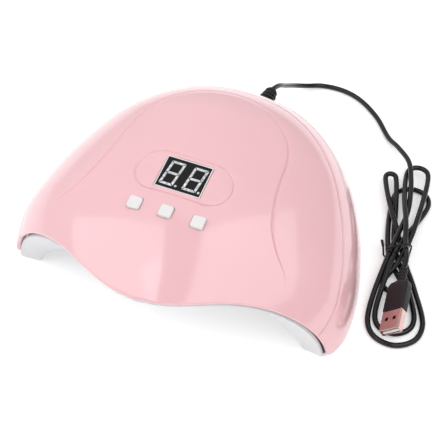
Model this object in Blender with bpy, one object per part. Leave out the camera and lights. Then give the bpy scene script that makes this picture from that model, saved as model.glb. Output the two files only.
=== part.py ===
"""UV LED nail lamp: pink two-piece dome, pale reflector liner, control panel, LED strips and USB cord.

All sizes are in millimetres until mesh_object() turns them into metres. The lamp stands on z = 0 and its
hand opening faces -Y. It is worked out about its own plane of symmetry, x = 0, and at the end everything
moves by BOX_CENTRE, so the origin is the bottom centre of the whole lamp's bounding box.
"""
import math

import bmesh
import bpy
import numpy as np
from mathutils import Matrix, Vector

MM = 0.001
BOX_CENTRE = (18.08, 80.094, 0.0)

# Outer dome: plan outline, centre-line profile and cross-sections.
HALF_WIDTH = 95.0
HEIGHT = 77.0
BACK_Y = 145.0
WIDEST_Y = 16.5
PLAN_FRONT_REACH = 77.5
PLAN_FRONT_POWER = 1.7
PLAN_BACK_POWER = 1.82
CROWN_Y = 68.5
FRONT_SLOPE_POWER = 2.4
BACK_INNER_POWER = 1.92
BACK_OUTER_POWER = 1.5
SECTION_FRONT_POWER = 1.97
SECTION_BACK_POWER = 2.3

# Visor: the trimmed front edge, seen from the side.
VISOR_TIP_Y = -38.5
VISOR_TIP_Z = 47.5
VISOR_REACH_POWER = 4.0
VISOR_RISE_POWER = 1.2

WALL = 2.4
SHELL_LIFT = 0.8
GAP = 0.3
SEAM_Z_AT_ORIGIN = 20.5
SEAM_RISE = 0.42
SEAM_GAP = 0.4

# Liner: the hand cavity, its arch and the bottom flange.
LINER_WALL = 1.8
LINER_FACE_Y = 1.5
FLANGE_Z = 1.8
ARCH_HALF_WIDTH = 77.0
ARCH_HEIGHT = 33.0
ARCH_POWER = 1.65
CAVITY_HALF_WIDTH = 79.0
CAVITY_WIDEST_Y = 22.0
CAVITY_HEIGHT = 48.0
CAVITY_CROWN_Y = 55.0
CAVITY_BACK_Y = 124.0
CAVITY_BACK_POWER = 2.3
CAVITY_DROP_POWER = 1.8
CAVITY_SECTION_POWER = 2.3
CAVITY_CENTRE_Y = 60.0
RIM_CLEARANCE = 1.2
LIP_CLEARANCE = 0.9
LIP_SETBACK = 1.5

# Control panel: one tilted board carries the display and the three switches.
PANEL_Y = 25.0
PANEL_TILT = math.radians(12.5)
PANEL_SINK = 0.8
DISPLAY_SIZE = (25.1, 19.0, 8.0)
DIGIT_PITCH = 12.5
DIGIT_SIZE = (6.3, 13.0)
DIGIT_SLANT = math.radians(8.0)
SEGMENT_WIDTH = 1.5
SEGMENT_CLEARANCE = 0.15
DOT_RADIUS = 0.75
DOT_OFFSET = 1.2
DISPLAY_WALL = 0.8
DISPLAY_FACE_THICKNESS = 2.0
BUTTON_PITCH = 17.3
BUTTON_ROW_V = -22.1
BUTTON_SIZE = 7.0
BUTTON_CORNER = 1.3
BUTTON_PROUD = 1.5
BUTTON_FLANGE_SIZE = 9.0
BUTTON_FLANGE_THICKNESS = 0.9
BOARD_SIZE = (50.0, 46.0, 1.6)
BOARD_TOP_W = -11.3
BOARD_CENTRE_V = -8.5
CONNECTOR_SIZE = (7.5, 5.8, 5.5)
CONNECTOR_SPOT = (-6.0, 8.0)
SWITCH_BODY = (6.0, 6.0, 3.2)
PLUNGER_RADIUS = 1.7
PLUNGER_PROUD = 1.0
PLUNGER_TO_CAP = 0.1

# Screws: (head radius, head height, shank radius, length), and the holes and posts round them.
LONG_SCREW = (2.6, 1.3, 1.3, 11.0)
SKIRT_SCREW = (2.6, 1.3, 1.3, 10.0)
BOARD_SCREW = (2.0, 1.3, 1.0, 6.0)
SCREW_HOLE_RADIUS = 1.7
SCREW_BORE_RADIUS = 1.6
POST_RADIUS = 3.2
BOSS_RADIUS = 2.9
BOARD_POST_RADIUS = 2.6
BOARD_BORE_RADIUS = 1.3
CEILING_HEAD_DROP = 0.9
FOOT_RADIUS = 4.0

# LEDs.
LED_ROWS_Y = (28.0, 60.0, 92.0)
LED_ANGLES = (32.0, 68.0, 112.0, 148.0)
LED_RADIUS = 2.7
LED_STRIP_WIDTH = 9.0
LED_STRIP_THICKNESS = 1.0

# Cord.
CORD_RADIUS = 1.5
CORD_SPACING = 1.8
CORD_EXIT = (0.0, 133.0, 31.5)
RELIEF_END_Y = 148.0
BUNDLE_WAIST = (101.7, 78.0)
BUNDLE_AXIS = (-0.279, 0.960)
WAIST_LIFT = 1.7
CORD_CLEARANCE = 0.35
TIE_RADIUS = 0.5
TIE_SLACK = 0.9
RELIEF_NECK_RADIUS = 3.7
RELIEF_BORE_RADIUS = 1.9
CORD_HOLE_RADIUS = 4.1
PLUG_ROLL = math.radians(38.0)
PLUG_NECK = 10.0
OVERMOLD_LENGTH = 19.0
SHELL_LENGTH = 12.5
SHELL_SIZE = (12.0, 4.5)
SHELL_WALL = 0.35
TONGUE_SIZE = (10.4, 1.6)
CONTACT_SIZE = (1.1, 0.25)

# Grid of the shells.
FRONT_COLUMNS = 11
SIDE_COLUMNS = 15
DOME_RINGS = 10
CAVITY_RINGS = 7


# ---------------------------------------------------------------- scene helpers
def clear_scene():
    for old in list(bpy.data.objects):
        bpy.data.objects.remove(old, do_unlink=True)


def material(name, colour, roughness, metallic=0.0):
    made = bpy.data.materials.new(name)
    made.use_nodes = True
    shader = made.node_tree.nodes["Principled BSDF"]
    shader.inputs["Base Color"].default_value = (*colour, 1.0)
    shader.inputs["Roughness"].default_value = roughness
    shader.inputs["Metallic"].default_value = metallic
    return made


def mesh_object(name, verts, faces, look=None, parent=None):
    """A new object from millimetre vertices."""
    mesh = bpy.data.meshes.new(name)
    mesh.from_pydata([tuple(float(c) * MM for c in v) for v in verts], [], faces)
    mesh.validate()
    shaped = bmesh.new()
    shaped.from_mesh(mesh)
    bmesh.ops.remove_doubles(shaped, verts=shaped.verts, dist=1e-6)
    bmesh.ops.recalc_face_normals(shaped, faces=shaped.faces)
    shaped.to_mesh(mesh)
    shaped.free()
    placed = bpy.data.objects.new(name, mesh)
    bpy.context.scene.collection.objects.link(placed)
    if look:
        mesh.materials.append(look)
        mesh.shade_smooth()
        mesh.set_sharp_from_angle(angle=math.radians(35))
    placed.parent = parent
    return placed


def tool(made):
    """Marks an object as a cutter or a guide, which isn't part of the lamp."""
    made.hide_render = True
    made.display_type = "WIRE"
    return made


def boolean(target, other, operation):
    step = target.modifiers.new(operation.title(), "BOOLEAN")
    step.operation = operation
    step.solver = "EXACT"
    step.object = other


def joined(name, parts):
    """Several (verts, faces) pieces as the vertices and faces of one cutter."""
    verts, faces = [], []
    for part_verts, part_faces in parts:
        start = len(verts)
        verts.extend(part_verts)
        faces.extend([tuple(i + start for i in face) for face in part_faces])
    return tool(mesh_object(name, verts, faces))


def turn_to(axis):
    """Columns are two side directions and the given axis."""
    z = Vector(axis).normalized()
    return z.to_track_quat("Z", "Y").to_matrix()


def prism(outline, low, high, place=Matrix.Identity(4)):
    """An outline in the local xy plane, extruded from low to high."""
    n = len(outline)
    verts = [place @ Vector((x, y, z)) for z in (low, high) for x, y in outline]
    faces = [tuple(range(n - 1, -1, -1)), tuple(range(n, 2 * n))]
    faces += [(i, (i + 1) % n, n + (i + 1) % n, n + i) for i in range(n)]
    return verts, faces


def circle(radius, sides, centre=(0.0, 0.0)):
    turns = [2 * math.pi * i / sides for i in range(sides)]
    return [(centre[0] + radius * math.cos(t), centre[1] + radius * math.sin(t)) for t in turns]


def rounded_rectangle(width, depth, corner, steps=4, centre=(0.0, 0.0)):
    points = []
    for quarter, (sx, sy) in enumerate(((1, 1), (-1, 1), (-1, -1), (1, -1))):
        cx = centre[0] + sx * (width / 2 - corner)
        cy = centre[1] + sy * (depth / 2 - corner)
        for step in range(steps + 1):
            turn = math.pi / 2 * (quarter + step / steps)
            points.append((cx + corner * math.cos(turn), cy + corner * math.sin(turn)))
    return points


def turned(profile, sides, place=Matrix.Identity(4)):
    """A closed ring profile of (radius, height) pairs turned about the local z axis."""
    n = len(profile)
    verts = []
    for i in range(sides):
        turn = 2 * math.pi * i / sides
        verts += [place @ Vector((r * math.cos(turn), r * math.sin(turn), z)) for r, z in profile]
    faces = []
    for i in range(sides):
        here, there = i * n, (i + 1) % sides * n
        for j in range(n):
            k = (j + 1) % n
            faces.append((here + j, there + j, there + k, here + k))
    return verts, faces


def tube(path, radius, sides):
    """A capped tube along a path, with a frame that doesn't twist."""
    path = [Vector(p) for p in path]
    side = Vector((0, 0, 1))
    verts = []
    for i, point in enumerate(path):
        ahead = (path[min(i + 1, len(path) - 1)] - path[max(i - 1, 0)]).normalized()
        side = (side - ahead * side.dot(ahead)).normalized()
        other = ahead.cross(side)
        for j in range(sides):
            turn = 2 * math.pi * j / sides
            verts.append(point + radius * (side * math.cos(turn) + other * math.sin(turn)))
    faces = [tuple(range(sides - 1, -1, -1)), tuple(range(len(verts) - sides, len(verts)))]
    for i in range(len(path) - 1):
        for j in range(sides):
            k = (j + 1) % sides
            faces.append((i * sides + j, i * sides + k, (i + 1) * sides + k, (i + 1) * sides + j))
    return verts, faces


def resample(points, count):
    """Points at equal arc lengths along a dense line, count + 1 of them."""
    points = np.asarray(points, dtype=float)
    run = np.concatenate([[0.0], np.cumsum(np.linalg.norm(np.diff(points, axis=0), axis=1))])
    wanted = np.linspace(0.0, run[-1], count + 1)
    return np.stack([np.interp(wanted, run, points[:, i]) for i in range(3)], axis=1)


# ---------------------------------------------------------------- outer dome
def crown_height(y):
    """Height of the dome on its centre line."""
    fore = max(CROWN_Y - y, 0.0) / (CROWN_Y - VISOR_TIP_Y)
    aft = min(max(y - CROWN_Y, 0.0) / (BACK_Y - CROWN_Y), 1.0)
    if fore > 0:
        return HEIGHT - (HEIGHT - VISOR_TIP_Z) * fore**FRONT_SLOPE_POWER
    return HEIGHT * (1 - aft**BACK_INNER_POWER) ** (1 / BACK_OUTER_POWER)


def plan_half_width(y):
    """Half width of the dome's outline on the table."""
    front = y < WIDEST_Y
    reach = PLAN_FRONT_REACH if front else BACK_Y - WIDEST_Y
    power = PLAN_FRONT_POWER if front else PLAN_BACK_POWER
    share = min(abs(y - WIDEST_Y) / reach, 1.0)
    return HALF_WIDTH * (1 - share**power) ** (1 / power)


def section_power(y):
    share = (y - VISOR_TIP_Y) / (BACK_Y - VISOR_TIP_Y)
    return SECTION_FRONT_POWER + (SECTION_BACK_POWER - SECTION_FRONT_POWER) * min(max(share, 0.0), 1.0)


def dome_z(x, y):
    """Height of the outer surface above the shell's rim."""
    half = plan_half_width(y)
    if half < 1e-6 or abs(x) >= half:
        return 0.0
    power = section_power(y)
    return crown_height(y) * (1 - (abs(x) / half) ** power) ** (1 / power)


def dome_x(y, z):
    """Half width of the dome at a depth and height."""
    power = section_power(y)
    share = min(z / crown_height(y), 1.0)
    return plan_half_width(y) * (1 - share**power) ** (1 / power)


def visor_edge():
    """The front edge from the visor's tip down to the foot, on the +x side."""
    points = []
    for turn in np.linspace(0.0, math.pi / 2, 600):
        y = VISOR_TIP_Y * (1 - math.sin(turn) ** (2 / VISOR_REACH_POWER))
        z = VISOR_TIP_Z * math.cos(turn) ** (2 / VISOR_RISE_POWER)
        points.append((dome_x(y, z) if turn > 0 else 0.0, y, z))
    return resample(points, FRONT_COLUMNS)


def ground_edge(half_width, start_y, end_y, columns):
    """An outline on the table from start_y round to the back, on the +x side."""
    points = []
    for turn in np.linspace(0.0, math.pi / 2, 600):
        y = start_y + (end_y - start_y) * math.sin(turn)
        points.append((half_width(y) if turn < math.pi / 2 else 0.0, y, 0.0))
    return resample(points, columns)


def mirrored_loop(half):
    """A closed loop from its +x half, whose ends lie on x = 0."""
    left = half[-2:0:-1] * np.array([-1.0, 1.0, 1.0])
    return np.concatenate([half, left])


def surface_grid(rim, centre_y, height, rings):
    """Columns of points from the crown (first) out to the rim (last), on z = height(x, y)."""
    grid = []
    for ex, ey, ez in rim:
        reach = np.sin(np.linspace(0.0, math.pi / 2, 300))
        column = []
        for share in reach:
            x, y = ex * share, centre_y + (ey - centre_y) * share
            column.append((x, y, height(x, y)))
        column[-1] = (ex, ey, ez)
        grid.append(resample(column, rings))
    return np.array(grid)


def grid_normals(grid, level_rim):
    """Outward unit normals of a polar grid of columns. A rim point on the table gets a level one."""
    around = np.roll(grid, -1, axis=0) - np.roll(grid, 1, axis=0)
    along = np.empty_like(grid)
    along[:, 1:-1] = grid[:, 2:] - grid[:, :-2]
    along[:, -1] = grid[:, -1] - grid[:, -2]
    along[:, 0] = grid[:, 1] - grid[:, 0]
    normals = np.cross(along, around)
    normals[:, 0] = (0.0, 0.0, 1.0)
    if level_rim:
        on_table = grid[:, -1, 2] < 1e-3
        normals[on_table, -1, 2] = 0.0
    return normals / np.linalg.norm(normals, axis=2, keepdims=True)


def skin(grid, first):
    """Faces of a polar grid whose vertices start at index first, pole first."""
    columns, rings = grid.shape[0], grid.shape[1] - 1
    verts = [grid[0, 0]] + [grid[c, r] for r in range(1, rings + 1) for c in range(columns)]
    def at(c, r):
        return first if r == 0 else first + 1 + (r - 1) * columns + c % columns
    faces = [(at(c, 0), at(c, 1), at(c + 1, 1)) for c in range(columns)]
    for r in range(1, rings):
        faces += [(at(c, r), at(c, r + 1), at(c + 1, r + 1), at(c + 1, r)) for c in range(columns)]
    rim = [at(c, rings) for c in range(columns)]
    return verts, faces, rim


def thick_skin(outer, inner):
    """A closed wall between two polar grids."""
    verts, faces, outer_rim = skin(outer, 0)
    inner_verts, inner_faces, inner_rim = skin(inner, len(verts))
    n = len(outer_rim)
    faces += [face[::-1] for face in inner_faces]
    faces += [(outer_rim[(i + 1) % n], outer_rim[i], inner_rim[i], inner_rim[(i + 1) % n]) for i in range(n)]
    return verts + inner_verts, faces


def dome_grid():
    front = visor_edge()
    side = ground_edge(plan_half_width, 0.0, BACK_Y, SIDE_COLUMNS)
    rim = mirrored_loop(np.concatenate([front, side[1:]]))
    grid = surface_grid(rim, PANEL_Y, dome_z, DOME_RINGS)
    return grid, grid_normals(grid, True)


def lifted(points):
    return points + np.array([0.0, 0.0, SHELL_LIFT])


def seam_block(name, side):
    """A big block that lies above (side 1) or below (side -1) the sloping seam."""
    slope = math.atan(SEAM_RISE)
    middle = Vector((0.0, 50.0, SHELL_LIFT + SEAM_Z_AT_ORIGIN + SEAM_RISE * 50.0))
    place = Matrix.Translation(middle) @ Matrix.Rotation(slope, 4, "X")
    near = -side * SEAM_GAP / 2
    low, high = sorted((near, near + side * 150.0))
    square = [(-120.0, -120.0), (120.0, -120.0), (120.0, 120.0), (-120.0, 120.0)]
    return joined(name, [prism(square, low, high, place)])


# ---------------------------------------------------------------- control panel
def panel_frame():
    """The panel's frame in millimetres: x right, y up the slope, z out of the cover."""
    origin = Vector((0.0, PANEL_Y, SHELL_LIFT + crown_height(PANEL_Y) - PANEL_SINK))
    return Matrix.Translation(origin) @ Matrix.Rotation(PANEL_TILT, 4, "X")


def cover_height_on_panel(u, v):
    """Height of the cover's outer surface above the panel plane, along the panel's normal."""
    place = panel_frame()
    height = 0.0
    for _ in range(8):
        point = place @ Vector((u, v, height))
        height += (SHELL_LIFT + dome_z(point.x, point.y) - point.z) * math.cos(PANEL_TILT)
    return height


def panel_empty():
    empty = bpy.data.objects.new("control_panel", None)
    bpy.context.scene.collection.objects.link(empty)
    place = panel_frame()
    empty.location = place.translation * MM
    empty.rotation_euler = place.to_euler()
    return empty


def segment_outlines(grow):
    """The bars and dots of both digits, each widened by grow on every side."""
    half_w, half_h = DIGIT_SIZE[0] / 2, DIGIT_SIZE[1] / 2
    across = SEGMENT_WIDTH / 2 + grow
    bar = half_w - 0.25 + grow
    post = half_h / 2 - 0.25 + grow
    bars = [((0.0, level), (bar, across), False) for level in (-half_h, 0.0, half_h)]
    bars += [((sx * half_w, sy * half_h / 2), (post, across), True) for sx in (-1, 1) for sy in (-1, 1)]
    outlines = []
    for digit in (-0.5, 0.5):
        for (cx, cy), (reach, width), upright in bars:
            shape = [(-reach, 0), (-reach + width, -width), (reach - width, -width),
                     (reach, 0), (reach - width, width), (-reach + width, width)]
            if upright:
                shape = [(-b, a) for a, b in shape]
            outlines.append([(digit * DIGIT_PITCH + cx + a + (cy + b) * math.tan(DIGIT_SLANT), cy + b)
                             for a, b in shape])
        dot = (digit * DIGIT_PITCH + half_w + DOT_OFFSET, -half_h)
        outlines.append(circle(DOT_RADIUS + grow, 8, dot))
    return outlines


def build_display(panel, looks):
    width, depth, height = DISPLAY_SIZE
    body = prism(rounded_rectangle(width, depth, 0.4, 1), -height, 0.0)
    housing = mesh_object("display_housing", *body, looks["black_plastic"], panel)
    pocket_outline = rounded_rectangle(width - 2 * DISPLAY_WALL, depth - 2 * DISPLAY_WALL, 0.3, 1)
    pocket = prism(pocket_outline, -height - 1.0, -DISPLAY_FACE_THICKNESS)
    holes = [prism(outline, -2.5, 0.5) for outline in segment_outlines(SEGMENT_CLEARANCE)]
    for index, part in enumerate((pocket, *holes)):
        cutter = tool(mesh_object(f"display_cut_{index}", *part, parent=panel))
        boolean(housing, cutter, "DIFFERENCE")
    plate = prism(rounded_rectangle(width - 3 * DISPLAY_WALL, depth - 3 * DISPLAY_WALL, 0.3, 1), -height + 0.5,
                  -DISPLAY_FACE_THICKNESS - 0.4)
    potting = mesh_object("display_segments", *plate, looks["segment_white"], panel)
    for index, outline in enumerate(segment_outlines(0.0)):
        peg = tool(mesh_object(f"segment_peg_{index}", *prism(outline, -3.0, -0.2), parent=panel))
        boolean(potting, peg, "UNION")


def build_button(name, u, panel, looks):
    """A cap with its retaining flange, and the switch plunger it presses."""
    top = cover_height_on_panel(u, BUTTON_ROW_V) + BUTTON_PROUD
    switch_top = BOARD_TOP_W + GAP + SWITCH_BODY[2]
    foot = switch_top + PLUNGER_PROUD + PLUNGER_TO_CAP - top
    cap = prism(rounded_rectangle(BUTTON_SIZE, BUTTON_SIZE, BUTTON_CORNER), foot, 0.0)
    cap = mesh_object(f"button_{name}", *cap, looks["button_white"], panel)
    cap.location = Vector((u, BUTTON_ROW_V, top)) * MM
    flange = rounded_rectangle(BUTTON_FLANGE_SIZE, BUTTON_FLANGE_SIZE, 1.0, 1)
    ring = prism(flange, foot, foot + BUTTON_FLANGE_THICKNESS)
    ring = tool(mesh_object(f"button_flange_{name}", *ring, parent=panel))
    ring.location = cap.location
    boolean(cap, ring, "UNION")

    width, depth, height = SWITCH_BODY
    body = prism(rounded_rectangle(width, depth, 0.3, 1), -height, 0.0)
    body = mesh_object(f"switch_{name}", *body, looks["black_plastic"], panel)
    body.location = Vector((u, BUTTON_ROW_V, switch_top)) * MM
    well = prism(circle(PLUNGER_RADIUS + GAP, 12), -2.0, 0.5)
    bore = tool(mesh_object(f"switch_well_{name}", *well, parent=panel))
    bore.location = body.location
    boolean(body, bore, "DIFFERENCE")
    plunger = mesh_object(f"plunger_{name}", *prism(circle(PLUNGER_RADIUS, 12), -1.2, PLUNGER_PROUD),
                          looks["black_plastic"], panel)
    plunger.location = body.location


def build_board(panel, looks):
    width, depth, thickness = BOARD_SIZE
    outline = rounded_rectangle(width, depth, 1.5, 2, (0.0, BOARD_CENTRE_V))
    board = mesh_object("control_board", *prism(outline, BOARD_TOP_W - thickness, BOARD_TOP_W),
                        looks["board_green"], panel)
    holes = joined("board_holes", [prism(circle(SCREW_HOLE_RADIUS, 10, spot), BOARD_TOP_W - 3, BOARD_TOP_W + 1)
                                   for spot in board_screw_spots()])
    holes.parent = panel
    boolean(board, holes, "DIFFERENCE")
    chip = prism(rounded_rectangle(10.0, 4.0, 0.2, 1, (0.0, -15.5)), BOARD_TOP_W + GAP, BOARD_TOP_W + 1.8)
    mesh_object("controller_chip", *chip, looks["black_plastic"], panel)
    under = BOARD_TOP_W - thickness - GAP
    plug = rounded_rectangle(*CONNECTOR_SIZE[:2], 0.3, 1, CONNECTOR_SPOT)
    plug = prism(plug, under - CONNECTOR_SIZE[2], under)
    mesh_object("lead_connector", *plug, looks["button_white"], panel)
    for index, spot in enumerate(board_screw_spots(), 1):
        screw = mesh_object(f"board_screw_{index}", *screw_shape(*BOARD_SCREW), looks["screw_steel"], panel)
        screw.matrix_local = Matrix.Translation(Vector((*spot, under)) * MM) @ Matrix.Rotation(math.pi, 4, "X")


def board_screw_spots():
    return [(-21.5, BOARD_CENTRE_V), (21.5, BOARD_CENTRE_V)]


def screw_shape(head_radius, head_height, shank_radius, length):
    """A pan-head screw: head above z = 0, shank down to -length, local frame."""
    shank = [(0.0, -length), (shank_radius * 0.5, -length), (shank_radius, -length + 1.0), (shank_radius, 0.0)]
    head = [(head_radius, 0.0), (head_radius, head_height * 0.55), (head_radius * 0.6, head_height),
            (0.0, head_height)]
    return lathe(shank + head, 12)


def lathe(profile, sides):
    """An open profile from the axis to the axis, bottom to top, turned about z."""
    verts = [Vector((0.0, 0.0, profile[0][1])), Vector((0.0, 0.0, profile[-1][1]))]
    inner = profile[1:-1]
    for r, z in inner:
        verts += [Vector((r * math.cos(2 * math.pi * i / sides), r * math.sin(2 * math.pi * i / sides), z))
                  for i in range(sides)]
    last = 2 + (len(inner) - 1) * sides
    faces = [(0, 2 + (i + 1) % sides, 2 + i) for i in range(sides)]
    faces += [(1, last + i, last + (i + 1) % sides) for i in range(sides)]
    for ring in range(len(inner) - 1):
        low, high = 2 + ring * sides, 2 + (ring + 1) * sides
        faces += [(low + i, low + (i + 1) % sides, high + (i + 1) % sides, high + i) for i in range(sides)]
    return verts, faces


# ---------------------------------------------------------------- liner
def cavity_half_width(y):
    if y < CAVITY_WIDEST_Y:
        share = (CAVITY_WIDEST_Y - y) / (CAVITY_WIDEST_Y - LINER_FACE_Y)
        return CAVITY_HALF_WIDTH - (CAVITY_HALF_WIDTH - ARCH_HALF_WIDTH) * share**2
    share = min((y - CAVITY_WIDEST_Y) / (CAVITY_BACK_Y - CAVITY_WIDEST_Y), 1.0)
    return CAVITY_HALF_WIDTH * math.sqrt(1 - share**2)


def cavity_crown(y):
    if y < CAVITY_CROWN_Y:
        share = (CAVITY_CROWN_Y - y) / (CAVITY_CROWN_Y - LINER_FACE_Y)
        return CAVITY_HEIGHT - (CAVITY_HEIGHT - ARCH_HEIGHT) * share**2
    share = min((y - CAVITY_CROWN_Y) / (CAVITY_BACK_Y - CAVITY_CROWN_Y), 1.0)
    return CAVITY_HEIGHT * (1 - share**CAVITY_BACK_POWER) ** (1 / CAVITY_DROP_POWER)


def cavity_power(y):
    share = min(max((y - LINER_FACE_Y) / (CAVITY_CROWN_Y - LINER_FACE_Y), 0.0), 1.0)
    return ARCH_POWER + (CAVITY_SECTION_POWER - ARCH_POWER) * share


def cavity_z(x, y):
    half = cavity_half_width(y)
    if half < 1e-6 or abs(x) >= half:
        return 0.0
    power = cavity_power(y)
    return cavity_crown(y) * (1 - (abs(x) / half) ** power) ** (1 / power)


def cavity_point(y, degrees):
    """A point on the cavity's ceiling at a section angle (0 at +x, 90 on top), and its upward normal."""
    power = cavity_power(y)
    c, s = math.cos(math.radians(degrees)), math.sin(math.radians(degrees))
    def at(yy):
        x = cavity_half_width(yy) * math.copysign(abs(c) ** (2 / power), c)
        return Vector((x, yy, cavity_crown(yy) * s ** (2 / power) + FLANGE_Z))
    point = at(y)
    def slope(dx, dy):
        return cavity_z(point.x + dx, point.y + dy) - cavity_z(point.x - dx, point.y - dy)
    normal = Vector((-slope(0.5, 0.0), -slope(0.0, 0.5), 1.0)).normalized()
    return point, normal


def arch_edge():
    points = []
    for turn in np.linspace(0.0, math.pi / 2, 600):
        x = ARCH_HALF_WIDTH * math.sin(turn) ** (2 / ARCH_POWER)
        z = ARCH_HEIGHT * math.cos(turn) ** (2 / ARCH_POWER)
        points.append((x, LINER_FACE_Y, z))
    return resample(points, FRONT_COLUMNS)


def liner_rim(dome, dome_normals):
    """The liner's outer edge: just inside the shell's lip in front, level with the flange elsewhere."""
    inward = (dome[:, -2] - dome[:, -1])
    inward /= np.linalg.norm(inward, axis=1, keepdims=True)
    normals = dome_normals[:, -1]
    rim = dome[:, -1] - WALL * normals
    high = np.clip((dome[:, -1, 2] - 18.0) / 25.0, 0.0, 1.0)[:, None]
    front = dome[:, -1, 1] < 1e-6
    rim = rim - (RIM_CLEARANCE + high * LIP_CLEARANCE) * normals
    rim[front] += LIP_SETBACK * inward[front]
    rim[:, 2] += SHELL_LIFT
    rim[~front, 2] = FLANGE_Z
    corner = np.abs(dome[:, -1, 1]) < 1e-6
    rim[corner, 1] = LINER_FACE_Y
    rim[corner, 2] = FLANGE_Z
    return rim


def build_liner(dome, dome_normals, looks):
    edge = arch_edge()
    side = ground_edge(cavity_half_width, LINER_FACE_Y, CAVITY_BACK_Y, SIDE_COLUMNS)
    loop = mirrored_loop(np.concatenate([edge, side[1:]]))
    cavity = surface_grid(loop, CAVITY_CENTRE_Y, cavity_z, CAVITY_RINGS)
    cavity[:, :, 2] += FLANGE_Z
    rim = liner_rim(dome, dome_normals)
    sheet = np.concatenate([cavity, rim[:, None]], axis=1)
    verts, faces, _ = skin(sheet, 0)
    liner = mesh_object("inner_liner", verts, faces, looks["liner_white"])
    wall = liner.modifiers.new("Wall", "SOLIDIFY")
    wall.thickness = LINER_WALL * MM
    wall.offset = 1.0
    wall.use_even_offset = True
    holes = []
    for y in LED_ROWS_Y:
        for degrees in LED_ANGLES:
            point, normal = cavity_point(y, degrees)
            place = Matrix.Translation(point) @ turn_to(normal).to_4x4()
            holes.append(prism(circle(LED_RADIUS + GAP, 12), -3.0, 5.0, place))
    for point, normal in ceiling_screw_spots():
        place = Matrix.Translation(point) @ turn_to(normal).to_4x4()
        holes.append(prism(circle(SCREW_HOLE_RADIUS, 10), -3.0, 5.0, place))
    for x, y, _ in skirt_screw_spots():
        holes.append(prism(circle(SCREW_HOLE_RADIUS, 10, (x, y)), 0.0, 6.0))
    boolean(liner, joined("liner_holes", holes), "DIFFERENCE")


def ceiling_screw_spots():
    """Screws that go up through the cavity's ceiling into the top cover's posts."""
    return [cavity_point(y, degrees) for y in (44.0, 76.0) for degrees in (60.0, 120.0)]


def skirt_screw_spots():
    """(x, y, boss top z) of the screws that hold the flange to the rear cover's bosses."""
    return [(86.4, 14.0, 24.0), (-86.4, 14.0, 24.0), (51.5, 111.5, 17.0), (-51.5, 111.5, 17.0)]


def build_leds(looks):
    number = 0
    for row, y in enumerate(LED_ROWS_Y, 1):
        build_led_strip(f"led_strip_{row}", y, looks)
        for degrees in LED_ANGLES:
            number += 1
            point, normal = cavity_point(y, degrees)
            place = Matrix.Translation(point) @ turn_to(normal).to_4x4()
            dome = [(0.0, -0.6), (LED_RADIUS * 0.6, -0.45), (LED_RADIUS, 0.1)]
            back = [(LED_RADIUS, LINER_WALL + GAP), (0.0, LINER_WALL + GAP)]
            bead = mesh_object(f"led_bead_{number:02d}", *lathe(dome + back, 12), looks["led_lens"])
            bead.matrix_world = Matrix.Translation(place.translation * MM) @ place.to_3x3().to_4x4()


def build_led_strip(name, y, looks):
    """A bent strip that follows the cavity's ceiling behind the liner."""
    steps = 16
    near, far = LINER_WALL + 0.9, LINER_WALL + 0.9 + LED_STRIP_THICKNESS
    verts = []
    for i in range(steps + 1):
        degrees = LED_ANGLES[0] - 6 + (LED_ANGLES[-1] - LED_ANGLES[0] + 12) * i / steps
        for side in (-1, 1):
            point, normal = cavity_point(y + side * LED_STRIP_WIDTH / 2, degrees)
            verts += [point + normal * near, point + normal * far]
    faces = [(0, 1, 3, 2), (4 * steps, 4 * steps + 2, 4 * steps + 3, 4 * steps + 1)]
    for i in range(steps):
        a, b = 4 * i, 4 * (i + 1)
        faces += [(a, b, b + 1, a + 1), (a + 2, a + 3, b + 3, b + 2), (a, a + 2, b + 2, b),
                  (a + 1, b + 1, b + 3, a + 3)]
    mesh_object(name, verts, faces, looks["board_white"])


# ---------------------------------------------------------------- covers
def panel_openings(grow):
    """The display window and the three button holes, as prisms through the cover."""
    place = panel_frame()
    width, depth, _ = DISPLAY_SIZE
    parts = [prism(rounded_rectangle(width + 2 * grow, depth + 2 * grow, 0.7, 1), -6.0, 6.0, place)]
    for index in (-1, 0, 1):
        hole = rounded_rectangle(BUTTON_SIZE + 2 * grow, BUTTON_SIZE + 2 * grow, BUTTON_CORNER + grow, 3,
                                 (index * BUTTON_PITCH, BUTTON_ROW_V))
        parts.append(prism(hole, -6.0, 6.0, place))
    return parts


def build_top_cover(verts, faces, looks):
    cover = mesh_object("top_cover", verts, faces, looks["pink_gloss"])
    posts, bores = [], []
    for point, normal in ceiling_screw_spots():
        place = Matrix.Translation(point) @ turn_to(normal).to_4x4()
        reach = distance_to_dome(point, normal) - WALL / 2
        posts.append(prism(circle(POST_RADIUS, 12), LINER_WALL + GAP + 0.2, reach, place))
        bores.append(prism(circle(SCREW_BORE_RADIUS, 10), LINER_WALL - 1.0, LINER_WALL + 11.0, place))
    panel = panel_frame()
    for u, v in board_screw_spots():
        top = cover_height_on_panel(u, v) - WALL / 2
        posts.append(prism(circle(BOARD_POST_RADIUS, 10, (u, v)), BOARD_TOP_W + GAP, top, panel))
        bores.append(prism(circle(BOARD_BORE_RADIUS, 8, (u, v)), BOARD_TOP_W - 1.0, BOARD_TOP_W + 5.5, panel))
    boolean(cover, joined("top_posts", posts), "UNION")
    boolean(cover, joined("top_bores", bores), "DIFFERENCE")
    boolean(cover, joined("panel_cuts", panel_openings(GAP)), "DIFFERENCE")
    boolean(cover, seam_block("below_seam", -1), "DIFFERENCE")


def distance_to_dome(point, direction):
    """How far the outer surface is from a point inside, along a direction."""
    reach = 0.0
    while reach < 120.0:
        probe = point + direction * reach
        if dome_z(probe.x, probe.y) + SHELL_LIFT < probe.z:
            return reach
        reach += 0.1
    return reach


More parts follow.
